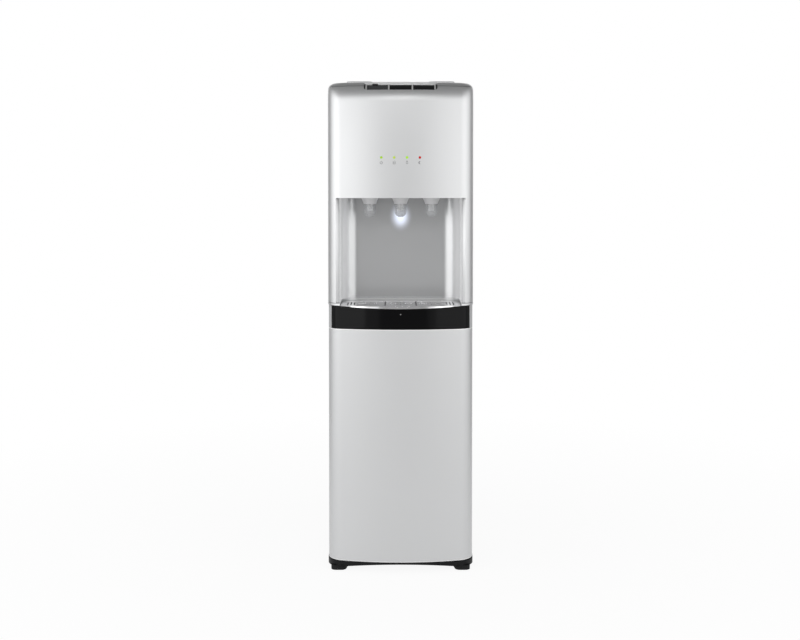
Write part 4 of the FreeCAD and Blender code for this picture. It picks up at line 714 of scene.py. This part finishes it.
KEY_INNER = 0.0264
KEY_OUTER = 0.0713
KEY_CENTRE = 0.0234
KEY_CLEAR = 0.0006
KEY_BACK = -0.1136
KEY_LOW = 1.0177
KEY_INSET = 0.0050
KEY_WALL = 0.0022
KEY_EDGE = 0.0005
BAR_RADIUS = 0.0044
BAR_Y = -0.118
BAR_Z = 1.0265
WEB_HALF = 0.002
WEB_TOP = 1.0306
STUB_RADIUS = 0.003
STUB_TALL = 0.018
STUB_Y = -0.145
STUB_Z = 1.0209
keys = (
    ("hot_key", -KEY_OUTER + KEY_CLEAR, -KEY_INNER - KEY_CLEAR, key_grey, "key_grey"),
    ("room_key", -KEY_CENTRE + KEY_CLEAR, KEY_CENTRE - KEY_CLEAR, key_black, "gloss_black"),
    ("cold_key", KEY_INNER + KEY_CLEAR, KEY_OUTER - KEY_CLEAR, key_black, "gloss_black"),
)
for name, x0, x1, finish, slot in keys:
    tile = head_slice(KEY_INSET, KEY_WALL, x0, x1, KEY_BACK, KEY_LOW)
    softened(tile, KEY_EDGE)
    bar = cylinder(((x0 + x1) / 2, BAR_Y, BAR_Z), BAR_RADIUS, x1 - x0, ALONG_X)
    web = block(x0, x1, BAR_Y - WEB_HALF, BAR_Y + WEB_HALF, BAR_Z, WEB_TOP)
    stub = cylinder(((x0 + x1) / 2, STUB_Y, STUB_Z), STUB_RADIUS, STUB_TALL, sides=24)
    finished(joined(tile, bar, web, stub), name + "_tile", finish, name, slot, name)

BEZEL_HALF = 0.0774
BEZEL_HOLE = 0.0743
BEZEL_BACK = -0.107
BEZEL_LOW = 1.0174
BEZEL_INSET = 0.0036
BEZEL_DEEP = 0.0100
BELOW_KEYS = 1.0
RIB_XS = (-0.0728, -0.0249, 0.0249, 0.0728)
RIB_HALF = 0.0015
RIB_BACK = -0.112
RIB_INSET = 0.0042
RIB_DEEP = 0.0090
bezel = head_slice(BEZEL_INSET, BEZEL_DEEP, -BEZEL_HALF, BEZEL_HALF, BEZEL_BACK, BEZEL_LOW)
cut_by(bezel, block(-BEZEL_HOLE, BEZEL_HOLE, -BEYOND, RIB_BACK, BELOW_KEYS, ABOVE_HEAD))
finished(softened(bezel, MOULD_EDGE), "key_bezel_frame", bezel_grey, "cabinet", "gloss_black", "key_bezel")
ribs = []
for x in RIB_XS:
    rib = head_slice(RIB_INSET, RIB_DEEP, x - RIB_HALF, x + RIB_HALF, RIB_BACK, BEZEL_LOW)
    ribs.append(softened(rib, MOULD_EDGE))
finished(joined(*ribs), "key_ribs", rib_grey, "cabinet", "divider", "key_dividers")

FLAT_TO = math.radians(1)


def cad_finish(finish, *nodes):
    """Gives CAD parts that keep their own shape their finish."""
    for node in nodes:
        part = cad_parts[node]
        part.data.materials.clear()
        part.data.materials.append(finish)


def smooth_copy(node, name, finish, body, slot, edge=0.0):
    """A merged copy of a CAD part with round faces shaded round, and its edges broken where edge is given."""
    piece = copied(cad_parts[node])
    for key in list(piece.keys()):
        if key.startswith("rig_"):
            del piece[key]
    piece.parent = None
    reopen(piece)
    bpy.ops.mesh.remove_doubles(threshold=MERGE_WIDE)
    if edge:
        bpy.ops.mesh.dissolve_limited(angle_limit=FLAT_TO)
    bpy.ops.object.mode_set(mode="OBJECT")
    if piece.data.has_custom_normals:
        bpy.ops.mesh.customdata_custom_splitnormals_clear()
    if edge:
        softened(piece, edge)
    return finished(piece, name, finish, body, slot, node)


METAL_CLOUD_SCALE = 30.0
SPANGLE_SCALE = 90.0
BRUSH_SCALE = 60.0
BRUSH_STRETCH = (1, 1, 60)
METAL_DARK = 0.88
METAL_LIGHT = 1.08
METAL_SPREAD = 0.3
METAL_RELIEF = 0.05


def metal(name, colour, roughness, brushed=0.0, spangle=0.0):
    """Bare or plated metal: brushing lines or zinc spangle, with cloudy shine."""
    made, tree, shader, ground = finish_base(name)
    clouds = noise(tree, ground, METAL_CLOUD_SCALE, CLOUD_DETAIL)
    level = clouds
    if spangle:
        cells = build(tree, "ShaderNodeTexVoronoi", None, {"Vector": ground, "Scale": SPANGLE_SCALE}, "Color")
        level = build(tree, "ShaderNodeSeparateColor", None, {0: cells}) * spangle + clouds * (1 - spangle)
    if brushed:
        stretched = build(tree, "ShaderNodeMapping", None, {"Vector": ground, "Scale": BRUSH_STRETCH})
        level = noise(tree, stretched, BRUSH_SCALE) * brushed + clouds * (1 - brushed)
    dark = [c * METAL_DARK for c in colour]
    light = [min(1.0, c * METAL_LIGHT) for c in colour]
    shine = roughness * (1 - METAL_SPREAD / 2) + level * (roughness * METAL_SPREAD)
    feed(tree, shader.inputs["Base Color"], tint(tree, level, dark, light))
    feed(tree, shader.inputs["Roughness"], shine)
    shader.inputs["Metallic"].default_value = 1.0
    relief(tree, shader, level, METAL_RELIEF, PEEL_DEEP)
    return made


LOCK_HEIGHT = 0.62
LOCK_DROP = 0.0012
bright_steel = metal("bright_steel", (0.62, 0.62, 0.61), 0.24)
lock_black = coated("lock_black", (0.035, 0.035, 0.037), 0.28, 0.0, 0.45, 0.06, 0.03)
lock = smooth_copy("child_lock", "child_lock_slider", lock_black, "child_lock", "black_base")
lock_low = min(corner.co.z for corner in lock.data.vertices)
reopen(lock)
bpy.ops.transform.resize(value=(1, 1, LOCK_HEIGHT), center_override=(0, 0, lock_low))
bpy.ops.transform.translate(value=(0, 0, -LOCK_DROP))
bpy.ops.object.mode_set(mode="OBJECT")
smooth_copy("key_axle", "key_axle_bar", bright_steel, "cabinet", "pin_steel")
rod_white = coated("rod_white", (0.68, 0.69, 0.70), 0.38, 0.0, 0.5, 0.03, 0.03)
for name in ("hot", "room", "cold"):
    smooth_copy("push_rod_" + name, name + "_push_rod", rod_white, name + "_rod", "white_plastic")

# Status lamps and their marks
# Four round LED lenses in the fascia, three yellow-green and one red, over four small printed marks: a power
# ring, a cup, a drop and a crescent. The lamp board carries them behind the fascia.
LAMP_GREEN = (0.32, 0.56, 0.03, 1)
LAMP_LIME = (0.44, 0.58, 0.07, 1)
LAMP_BRIGHT = (0.34, 0.66, 0.03, 1)
LAMP_RED = (0.46, 0.008, 0.007, 1)
LAMP_GLOW = 0.30


def uneven(tree, ground, scale, least, spread):
    """A level that varies a little over a clear piece."""
    return least + noise(tree, ground, scale) * spread


lamp_lenses, tree, shader, ground = finish_base("lamp_lenses")
across = build(tree, "ShaderNodeSeparateXYZ", None, {0: ground})
step = span(tree, across, -LAMP_PITCH * 2, LAMP_PITCH * 2)
glow = build(tree, "ShaderNodeValToRGB",
             {"stops": ((0.0, LAMP_GREEN), (0.25, LAMP_LIME), (0.5, LAMP_BRIGHT), (0.75, LAMP_RED)),
              "interpolation": "CONSTANT"}, {"Fac": step})
feed(tree, shader.inputs["Base Color"], glow)
feed(tree, shader.inputs["Emission Color"], glow)
shader.inputs["Emission Strength"].default_value = LAMP_GLOW
feed(tree, shader.inputs["Roughness"], uneven(tree, ground, scale=300.0, least=0.2, spread=0.1))
smooth_copy("status_lamps", "status_lamp_lenses", lamp_lenses, "cabinet", "lamp")

MARK_Z = 0.8661
MARK_PROUD = 0.00038
MARK_DEEP = 0.0004
MARK_STROKE = 0.0009
RING_RADIUS = 0.0031
BITE_RADIUS = 0.0024
BITE_X = 0.0015
BITE_DEEP = 0.002
DROP_RADIUS = 0.0024
DROP_FROM = 0.0004
DROP_TIP = 0.0022
DROP_PINCH = 0.35
print_grey = coated("print_grey", (0.22, 0.22, 0.225), 0.5, 0.0, 0.4, 0.05, 0.02)


def mark_ring(radius, stroke, sides=ROUND_SIDES):
    """A printed ring, flat on its back, to be set up on the fascia."""
    piece = begin("circle", vertices=sides, radius=radius, fill_type="NGON", location=(0, 0, 0))
    bpy.ops.mesh.inset(thickness=stroke)
    bpy.ops.mesh.delete(type="FACE")
    bpy.ops.mesh.select_all(action="SELECT")
    draw(0, 0, MARK_DEEP)
    close()
    return piece


def mark_bar(x, y, wide, tall):
    """A printed stroke."""
    piece = begin("cube", size=1, location=(x, y, MARK_DEEP / 2), scale=(wide, tall, MARK_DEEP))
    close()
    return piece


def mark_power():
    """A ring that is open at the top, with a stroke in the gap."""
    ring = mark_ring(RING_RADIUS, MARK_STROKE)
    cut_by(ring, mark_bar(0, 0.0028, wide=0.0026, tall=0.0030))
    return joined(ring, mark_bar(0, 0.0021, wide=MARK_STROKE, tall=0.0034))


def mark_cup():
    """Two walls, a foot, the level of the drink and a thread of steam."""
    walls = [mark_bar(side * 0.0022, 0.0, wide=MARK_STROKE, tall=0.0052) for side in (-1, 1)]
    foot = mark_bar(0, -0.0026, wide=0.0053, tall=MARK_STROKE)
    level = mark_bar(0, 0.0010, wide=0.0044, tall=MARK_STROKE)
    steam = mark_bar(0, 0.0036, wide=MARK_STROKE, tall=0.0016)
    return joined(*walls, foot, level, steam)


def mark_moon():
    """A disc with a smaller one taken out of its side."""
    moon = cylinder((0, 0, MARK_DEEP / 2), RING_RADIUS, MARK_DEEP)
    return cut_by(moon, cylinder((BITE_X, 0, 0), BITE_RADIUS, BITE_DEEP))


def mark_drop():
    """A ring drawn up to a tip."""
    drop = mark_ring(DROP_RADIUS, MARK_STROKE, sides=24)
    reopen(drop)
    shape = bmesh.from_edit_mesh(drop.data)
    for corner in shape.verts:
        if corner.co.y > DROP_FROM:
            lift = corner.co.y / DROP_RADIUS
            corner.co.y += DROP_TIP * lift ** 3
            corner.co.x *= 1 - DROP_PINCH * lift
    bmesh.update_edit_mesh(drop.data)
    bpy.ops.object.mode_set(mode="OBJECT")
    return drop


marks = []
for x, make in zip(lamp_places, (mark_power, mark_cup, mark_drop, mark_moon)):
    mark = make()
    only(mark)
    mark.rotation_euler = (math.pi / 2, 0, math.asin(x / ARC_RADIUS))
    mark.location = (x, front_y(x) + MARK_PROUD, MARK_Z)
    bpy.ops.object.transform_apply(location=True, rotation=True, scale=True)
    marks.append(mark)
finished(joined(*marks), "status_marks", print_grey, "cabinet", "key_grey")

# Niche liner, its ceiling and the night light
# A silver moulding with large concave corners, open at the front, with a rolled lip at its foot.
# The ceiling plate over it carries the taps. A frosted lens behind the middle tap lights the cup.
PAINTED_POOL_PLACE = (0, -0.040, 0.7490)
PAINTED_POOL_STRETCH = (1, 1, 0.75)
PAINTED_POOL_REACH = 0.034
PAINTED_POOL_BLUE = (0.74, 0.81, 1.0, 1)
PAINTED_SIDE_LIGHT_FROM = 0.108
PAINTED_SIDE_LIGHT_FULL = 0.125
PAINTED_SIDE_LIGHT = (0.23, 0.23, 0.232)
NIGHT_BLUE = (0.72, 0.80, 1.0, 1)
NIGHT_GLOW = 0.5
FINE_EDGE = 0.0003
PLATE_EDGE = 0.0002
niche_paint = coated("niche_paint", (0.55, 0.555, 0.56), 0.26, 0.60, 0.5, 0.03, 0.01, 0.04)
tree = niche_paint.node_tree
shader = tree.nodes["Principled BSDF"]
ground = own_place(tree)
# Painted light: a soft blue pool of light, put into the liner's emission colour round a spot under the middle
# tap, stands in for the night light's glow on the walls.
from_lens = build(tree, "ShaderNodeVectorMath", {"operation": "SUBTRACT"}, {0: ground, 1: PAINTED_POOL_PLACE})
squeezed = build(tree, "ShaderNodeVectorMath", {"operation": "MULTIPLY"}, {0: from_lens, 1: PAINTED_POOL_STRETCH})
away = build(tree, "ShaderNodeVectorMath", {"operation": "LENGTH"}, {0: squeezed}, "Value")
painted_pool = span(tree, away, 0.0, PAINTED_POOL_REACH, 1.0, 0.0, "SMOOTHERSTEP")
# Painted light: the side walls near the mouth get a grey emission, which makes them brighter than the paint
# alone under the lamps.
sideways = build(tree, "ShaderNodeSeparateXYZ", None, {0: ground})
painted_side_share = span(tree, sideways * sideways, PAINTED_SIDE_LIGHT_FROM ** 2, PAINTED_SIDE_LIGHT_FULL ** 2, course="SMOOTHERSTEP")
painted_side_light = tint(tree, painted_side_share, (0, 0, 0), PAINTED_SIDE_LIGHT)
feed(tree, shader.inputs["Emission Color"], blend(tree, painted_pool * painted_pool, painted_side_light, PAINTED_POOL_BLUE))
shader.inputs["Emission Strength"].default_value = FULL_STRENGTH
smooth_copy("niche_liner", "niche_liner_moulding", niche_paint, "cabinet", "silver", FINE_EDGE)
ceiling_grey = coated("ceiling_grey", (0.20, 0.20, 0.20), 0.5, 0.0, 0.4, 0.05, 0.05)
smooth_copy("niche_ceiling", "niche_ceiling_plate", ceiling_grey, "cabinet", "silver", PLATE_EDGE)

night_lens, tree, shader, ground = finish_base("night_lens")
frost = tint(tree, noise(tree, ground, 200.0), (0.80, 0.85, 0.95), (0.90, 0.93, 1.0))
feed(tree, shader.inputs["Base Color"], frost)
feed(tree, shader.inputs["Roughness"], uneven(tree, ground, scale=150.0, least=0.35, spread=0.2))
shader.inputs["Emission Color"].default_value = NIGHT_BLUE
shader.inputs["Emission Strength"].default_value = NIGHT_GLOW
smooth_copy("night_light", "night_light_lens", night_lens, "cabinet", "night_lens")

# Taps
# Three alike: a light grey cone screwed up to the ceiling, a clear smoke sleeve that keeps splashes in, and
# the glossy nozzle inside it. The valves, their rods and the tubes are above the ceiling.
TAP_XS = (-0.066, 0.0, 0.066)
TAP_Y = -0.115
TURN_STEPS = 48


def turned(points, x, y):
    """A turned piece from the half profile of (radius, height) points."""
    radius, height = points[0]
    piece = begin_point((x + radius, y, height))
    for (r0, z0), (r1, z1) in zip(points, points[1:]):
        draw(r1 - r0, 0, z1 - z0)
    bpy.ops.mesh.select_all(action="SELECT")
    bpy.ops.mesh.spin(steps=TURN_STEPS, angle=2 * math.pi, center=(x, y, height), axis=(0, 0, 1))
    close(MERGE_WIDE)
    return piece


def arc_points(cx, cz, radius, start, end, steps=12):
    """Points of an arc in a half profile, by angles in degrees from straight out."""
    turn = [math.radians(start + (end - start) * n / steps) for n in range(steps + 1)]
    return [(cx + radius * math.cos(a), cz + radius * math.sin(a)) for a in turn]


CONE_BORE = 0.0078
CONE_TOP = 0.7920
CONE_WIDE = 0.0184
CONE_LIP = 0.0181
CONE_SHOULDER = 0.7905
CONE_TAPER = 0.0049
CONE_TALL = 0.0105
CONE_SEAT = 0.01295
cone_profile = [(CONE_BORE, CONE_TOP), (CONE_WIDE, CONE_TOP), (CONE_LIP, CONE_SHOULDER)]
for down in (0.2, 0.4, 0.6, 0.8, 0.95):
    cone_profile.append((CONE_WIDE - CONE_TAPER * down ** 0.8, CONE_SHOULDER - CONE_TALL * down))
cone_profile += [(0.0135, 0.7794), (0.0134, 0.7788), (CONE_SEAT, 0.7786), (CONE_SEAT, 0.7854),
                 (CONE_BORE, 0.7874), (CONE_BORE, CONE_TOP)]

SLEEVE_RADIUS = 0.0128
SLEEVE_BORE = 0.0114
SLEEVE_MOUTH = 0.005
SLEEVE_TOP = 0.7851
SLEEVE_SHOULDER = 0.7700
SLEEVE_LOW = 0.7506
sleeve_ball = SLEEVE_LOW + math.sqrt(SLEEVE_RADIUS ** 2 - SLEEVE_MOUTH ** 2)
sleeve_profile = [(SLEEVE_RADIUS, SLEEVE_TOP), (SLEEVE_RADIUS, SLEEVE_SHOULDER)]
sleeve_profile += arc_points(0, sleeve_ball, SLEEVE_RADIUS, start=0, end=-65)
sleeve_profile += [(0.0053, SLEEVE_LOW), (SLEEVE_MOUTH, 0.7512)]
sleeve_profile += arc_points(0, sleeve_ball, SLEEVE_BORE, start=-62, end=0)
sleeve_profile += [(SLEEVE_BORE, SLEEVE_TOP), (SLEEVE_RADIUS, SLEEVE_TOP)]

NOZZLE_BORE = 0.0035
NOZZLE_RADIUS = 0.0064
NOZZLE_COLLAR = 0.0075
NOZZLE_LOW = 0.7640
NOZZLE_TOP = 0.7945
nozzle_profile = [(NOZZLE_BORE, NOZZLE_LOW), (0.0049, NOZZLE_LOW), (0.0058, 0.7644), (NOZZLE_RADIUS, 0.7665),
                  (NOZZLE_RADIUS, 0.7854), (NOZZLE_COLLAR, 0.7884), (NOZZLE_COLLAR, NOZZLE_TOP),
                  (NOZZLE_BORE, NOZZLE_TOP), (NOZZLE_BORE, NOZZLE_LOW)]
tap_grey = coated("tap_grey", (0.62, 0.62, 0.63), 0.30, 0.0, 0.5, 0.02, 0.02)
sleeve_smoke, tree, shader, ground = finish_base("sleeve_smoke")
smoke = tint(tree, noise(tree, ground, 60.0), (0.54, 0.55, 0.56), (0.60, 0.61, 0.62))
feed(tree, shader.inputs["Base Color"], smoke)
feed(tree, shader.inputs["Roughness"], uneven(tree, ground, scale=90.0, least=0.08, spread=0.05))
feed(tree, shader.inputs["Alpha"], uneven(tree, ground, scale=40.0, least=0.34, spread=0.06))
nozzle_gloss = coated("nozzle_gloss", (0.92, 0.92, 0.92), 0.12, 0.10, 0.6, 0.02, 0.01)
for kind, node, profile, finish, slot in (
        ("tap_cone", "tap_cones", cone_profile, tap_grey, "tap_grey"),
        ("tap_sleeve", "tap_sleeves", sleeve_profile, sleeve_smoke, "tap_clear"),
        ("tap_nozzle", "tap_nozzles", nozzle_profile, nozzle_gloss, "tap_nozzle")):
    row = [turned(profile, x, TAP_Y) for x in TAP_XS]
    finished(joined(*row), kind + "_row", finish, "cabinet", slot, node, angle=40)

# Tray shelf, drip grille, tray and its front
# A silver shelf frames the tray. The chrome grille lies in the tray and lifts out. The tray slides forward
# on the deck behind a glossy black front, curved with the door and finely stepped under its top.
chrome = metal("chrome_plate", (0.80, 0.80, 0.81), 0.10)
tray_black = coated("tray_black", (0.003, 0.003, 0.0034), 0.10, 0.0, 0.10, 0.05, 0.006)
basin_black = coated("basin_black", (0.016, 0.017, 0.019), 0.30, 0.0, 0.35, 0.06, 0.04)
marker_grey = coated("marker_grey", (0.22, 0.22, 0.22), 0.45, 0.0, 0.5, 0.04, 0.02)
smooth_copy("tray_shelf", "tray_shelf_moulding", silver_paint, "cabinet", "silver", FINE_EDGE)
grille = smooth_copy("drip_grille", "drip_grille_plate", chrome, "grille", "chrome", FINE_EDGE)
smooth_copy("drip_tray", "drip_tray_basin", basin_black, "tray", "gloss_black", MOULD_EDGE)

TRAY_LOW = 0.5158
TRAY_HIGH = 0.5634
TRAY_HALF = 0.1462
TRAY_INSET = 0.0002
TRAY_WALL = 0.0031
STEP_LOW = 0.5518
STEP_DEEP = 0.0019
TRIM_DEEP = 0.0046
TOOL_PROUD = 0.0010
DISH_Y = -0.15
DISH_DEEP = 0.12
DISH_SIDES = 768
DISH_LOW = 0.5585
DISH_HALF = 0.1285
DISH_CLEAR = 0.0003
DISH_RISE = TRAY_HIGH - DISH_LOW
DISH_RADIUS = (DISH_HALF ** 2 + DISH_RISE ** 2) / (2 * DISH_RISE)


def above_dish(low):
    """Cutter over the shallow arc that sags towards the middle of the tray's front."""
    return cylinder((0, DISH_Y, low + DISH_RADIUS), DISH_RADIUS, DISH_DEEP, ALONG_Y, DISH_SIDES)


front_face = band(TRAY_INSET, TRAY_WALL, TRAY_HALF, RETURN_BACK, TRAY_LOW, TRAY_HIGH)
cut_by(front_face, above_dish(DISH_LOW))
step_strip = band(-TOOL_PROUD, STEP_DEEP, DISH_HALF, RETURN_BACK, STEP_LOW - 0.001, TRAY_HIGH + 0.002)
cut_by(front_face, cut_by(step_strip, above_dish(STEP_LOW), "INTERSECT"))
grille_trim = band(-TOOL_PROUD, TRIM_DEEP, DISH_HALF + 0.002, RETURN_BACK, DISH_LOW - 0.005,
                   TRAY_HIGH + 0.003)
cut_by(grille, cut_by(grille_trim, above_dish(DISH_LOW + DISH_CLEAR)))
shaded(grille)
finished(softened(front_face, MOULD_EDGE), "tray_front_face", tray_black, "tray", "gloss_black", "tray_front")
smooth_copy("tray_marker", "tray_marker_dot", marker_grey, "tray", "marker")

# Bottle door
# A convex silver moulding with a thin rim at its foot, a notch for the tray and two thin ears.
# It turns on two pins at the right. Its inner panel takes the front of the bottle.
DOOR_INSET = 0.0012
DOOR_LOW = 0.0208
DOOR_TOP = 0.5150
DOOR_DEEP = RETURN_BACK - FRONT - DOOR_INSET
DOOR_WIDE = HALF - DOOR_INSET
DOOR_MIDDLE = Vector((0, -0.10, 0.27))
RIM = 0.0012
RIM_EDGE = 0.0002
LID_INSET = 0.0015
LID_CLEAR = 0.0002
EAR_TOP = 0.5634
EAR_X = 0.1470
EAR_ROOT = 0.0010
door = half_plan(DOOR_INSET + RIM, RETURN_BACK, DOOR_LOW)
bpy.ops.mesh.select_all(action="SELECT")
draw(0, 0, RIM_EDGE)
draw(0, 0, RIM - RIM_EDGE)
bpy.ops.transform.resize(value=(DOOR_WIDE / (DOOR_WIDE - RIM), DOOR_DEEP / (DOOR_DEEP - RIM), 1),
                         center_override=(0, RETURN_BACK, DOOR_LOW))
draw(0, 0, DOOR_TOP - DOOR_LOW - RIM)
close()
facing_out(mirrored(door), DOOR_MIDDLE)
thick(door, WALL)
ends = []
for low, high in ((DOOR_LOW, DOOR_LOW + WALL), (DOOR_TOP - WALL, DOOR_TOP)):
    lid = half_plan(DOOR_INSET + LID_INSET, RETURN_BACK - LID_CLEAR, low)
    close()
    reopen(mirrored(lid))
    bpy.ops.mesh.edge_face_add()
    draw(0, 0, high - low)
    close()
    ends.append(lid)
ears = band(DOOR_INSET, WALL, HALF, RETURN_BACK, DOOR_TOP - EAR_ROOT, EAR_TOP, EAR_X)
door = joined(door, *ends, ears)

# Painted highlight: a near-white band of colour along the foot rim and the top edge, where the edges catch
# light. The ears are left out of the band.
FOOT_HIGHLIGHT_BAND = (DOOR_LOW + 0.0018, DOOR_LOW + 0.0024)
HEAD_HIGHLIGHT_BAND = (DOOR_TOP - 0.0016, DOOR_TOP - 0.0012)
EAR_SKIN = (DOOR_TOP + 0.0001, DOOR_TOP + 0.0004)
PAINTED_RIM_HIGHLIGHT = (0.92, 0.92, 0.92, 1)
door_paint = coated("door_paint", (0.59, 0.595, 0.60), 0.48, 0.50, 0.5, 0.03, 0.02, 0.08)
tree = door_paint.node_tree
shader = tree.nodes["Principled BSDF"]
height = build(tree, "ShaderNodeSeparateXYZ", None, {0: own_place(tree)}, "Z")
foot_highlight = span(tree, height, *FOOT_HIGHLIGHT_BAND, 1.0, 0.0)
head_highlight = span(tree, height, *HEAD_HIGHLIGHT_BAND)
ear_skin = span(tree, height, *EAR_SKIN)
plain = Signal(tree, shader.inputs["Base Color"].links[0].from_socket)
feed(tree, shader.inputs["Base Color"], blend(tree, foot_highlight + head_highlight - ear_skin, plain, PAINTED_RIM_HIGHLIGHT))
finished(door, "door_moulding", door_paint, "bottle_door", "silver", "door_shell", angle=30, flat=False)
liner_white = coated("liner_white", (0.74, 0.75, 0.76), 0.40, 0.0, 0.5, 0.02, 0.04)
smooth_copy("door_inner_panel", "door_inner_liner", liner_white, "bottle_door", "liner_white", MOULD_EDGE)
smooth_copy("hinge_pins", "door_hinge_pins", bright_steel, "cabinet", "pin_steel")
magnet_black = coated("magnet_black", (0.03, 0.03, 0.03), 0.6, 0.2, 0.5, 0.08, 0.10)
cad_finish(magnet_black, "door_magnet")
cad_finish(bright_steel, "catch_strike")

# Base and feet
# A black moulded base with an arched front edge, two moulded feet set under its front corners, and two
# levelling feet screwed in at the rear.
ARCH_HALF = 0.110
ARCH_TOP = 0.0173
ARCH_RISE = 0.0068
ARCH_Y = -0.146
ARCH_DEEP = 0.08
ARCH_SIDES = 512
ARCH_RADIUS = (ARCH_HALF ** 2 + ARCH_RISE ** 2) / (2 * ARCH_RISE)
base_black = coated("base_black", (0.006, 0.006, 0.0064), 0.42, 0.0, 0.14, 0.10, 0.10)
foot_rubber = coated("foot_rubber", (0.008, 0.008, 0.0084), 0.60, 0.0, 0.18, 0.12, 0.15)
base = smooth_copy("base_pan", "base_moulding", base_black, "cabinet", "black_base", MOULD_EDGE)
arch = cylinder((0, ARCH_Y, ARCH_TOP - ARCH_RADIUS), ARCH_RADIUS, ARCH_DEEP, ALONG_Y, ARCH_SIDES)
shaded(cut_by(base, arch))

FOOT_NEAR = 0.1100
FOOT_FAR = 0.1480
FOOT_FRONT = -0.1615
FOOT_BACK = -0.1062
FOOT_TALL = 0.0104
FOOT_CORNER = 0.010
FOOT_SLOPE = 0.0060
FOOT_EDGE = 0.0012
feet = []
for side in (-1, 1):
    foot = block(side * FOOT_NEAR, side * FOOT_FAR, FOOT_FRONT, FOOT_BACK, 0.0, FOOT_TALL,
                 edge=FOOT_CORNER, segments=5)
    reopen(foot)
    pick("verts", lambda middle, part: middle.z < NEAR and side * middle.x < FOOT_NEAR + FOOT_CORNER + 0.001)
    bpy.ops.transform.translate(value=(side * FOOT_SLOPE, 0, 0))
    bpy.ops.object.mode_set(mode="OBJECT")
    feet.append(softened(foot, FOOT_EDGE, segments=3))
finished(joined(*feet), "front_feet_pair", foot_rubber, "cabinet", "rubber", "front_feet")
smooth_copy("rear_feet", "rear_feet_pair", foot_rubber, "cabinet", "rubber")

# Sides, back, deck and screws
# Painted sheet steel sides, grey sheet backs with vent slots and pressed ribs, pan head screws, and the
# bare folded decks inside.
side_paint = coated("side_paint", (0.50, 0.505, 0.51), 0.40, 0.45, 0.5, 0.03, 0.06, 0.2)
back_paint = coated("back_paint", (0.30, 0.31, 0.32), 0.50, 0.15, 0.5, 0.05, 0.10)
zinc_sheet = metal("zinc_sheet", (0.58, 0.59, 0.60), 0.38, spangle=0.6)
cad_finish(side_paint, "left_side_panel", "right_side_panel")
cad_finish(back_paint, "back_panel", "lower_back_panel")
smooth_copy("panel_screws", "panel_screw_heads", bright_steel, "cabinet", "pin_steel")
cad_finish(zinc_sheet, "mid_deck", "tank_deck")

# Condenser
# Black enamelled grid on the back: one tube bent to and fro, with upright wires on both its faces.
# Four stand-offs sit in the bends of the tube and hold it off the sheet.
enamel = coated("black_enamel", (0.020, 0.020, 0.021), 0.32, 0.0, 0.5, 0.10, 0.05)
smooth_copy("condenser", "condenser_grid", enamel, "cabinet", "black_metal")
cad_finish(enamel, "condenser_brackets")

# Bottle bay with its probe
# A white formed bay takes the bottle, with a rim at its front and a fork that the probe hangs in.
# The probe's cap and pick-up tube go down into the bottle, and a silicone hose leads up through the deck.
milk_silicone = coated("milk_silicone", (0.72, 0.73, 0.74), 0.45, 0.0, 0.5, 0.03, 0.05)
probe_white = coated("probe_white", (0.70, 0.71, 0.73), 0.32)
smooth_copy("bottle_bay", "bottle_bay_liner", liner_white, "cabinet", "liner_white", MOULD_EDGE)
smooth_copy("bottle_probe", "bottle_probe_cap", probe_white, "probe", "white_plastic")
hose = smooth_copy("probe_hose", "probe_hose_tube", milk_silicone, "probe", "silicone")
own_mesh(hose)

# Water and cooling parts inside
# Cold tank in its foam jacket and hot tank, both on the tank deck. Pump and compressor stand on the deck over
# the bottle bay, the drier is clipped to the back sheet, and the boards stand on posts.
foam_cream = coated("foam_cream", (0.72, 0.68, 0.52), 0.85, 0.0, 0.3, 0.10, 0.60)
tank_steel = metal("tank_steel", (0.60, 0.60, 0.59), 0.30, brushed=0.5)
copper = metal("copper_tube", (0.72, 0.36, 0.22), 0.28)
shell_black = coated("shell_black", (0.022, 0.022, 0.023), 0.36, 0.0, 0.5, 0.10, 0.05)
valve_white = coated("valve_white", (0.68, 0.69, 0.70), 0.40, 0.0, 0.5, 0.03, 0.04)
board_green = coated("board_green", (0.04, 0.16, 0.07), 0.45, 0.0, 0.5, 0.15, 0.08)
for node, finish, slot in (
        ("cold_tank", tank_steel, "tank_steel"), ("hot_tank", tank_steel, "tank_steel"),
        ("tank_insulation", foam_cream, "foam"), ("compressor", shell_black, "black_metal"),
        ("pump", valve_white, "white_plastic"), ("filter_drier", copper, "copper"),
        ("tap_valves", valve_white, "white_plastic"), ("water_tubes", milk_silicone, "silicone")):
    smooth_copy(node, node + "_part", finish, "cabinet", slot)
cad_finish(board_green, "lamp_board", "power_board")

# Rear switches, drain cap and cord gland
# Three rocker switches, red for heating, blue for cooling and green for the night light, set in the back
# sheet, the screw cap of the hot tank's drain, and the gland where the supply cord enters.
switch_black = coated("switch_black", (0.025, 0.025, 0.026), 0.38, 0.0, 0.5, 0.08, 0.08)
cad_finish(switch_black, "switch_bodies")
for name, colour, slot in (
        ("heating", (0.55, 0.02, 0.015), "red_rocker"), ("cooling", (0.02, 0.10, 0.50), "blue_rocker"),
        ("light", (0.03, 0.36, 0.06), "green_rocker")):
    finish = coated(name + "_rocker_gloss", colour, 0.22, 0.0, 0.5, 0.06, 0.02)
    smooth_copy("rocker_" + name, name + "_rocker_lever", finish, name + "_rocker", slot, FINE_EDGE)
smooth_copy("drain_cap", "drain_cap_knob", valve_white, "drain_cap", "white_plastic")
smooth_copy("cord_gland", "cord_gland_ring", switch_black, "cabinet", "rubber")

for spare in (skin, shell):
    bpy.data.objects.remove(spare)
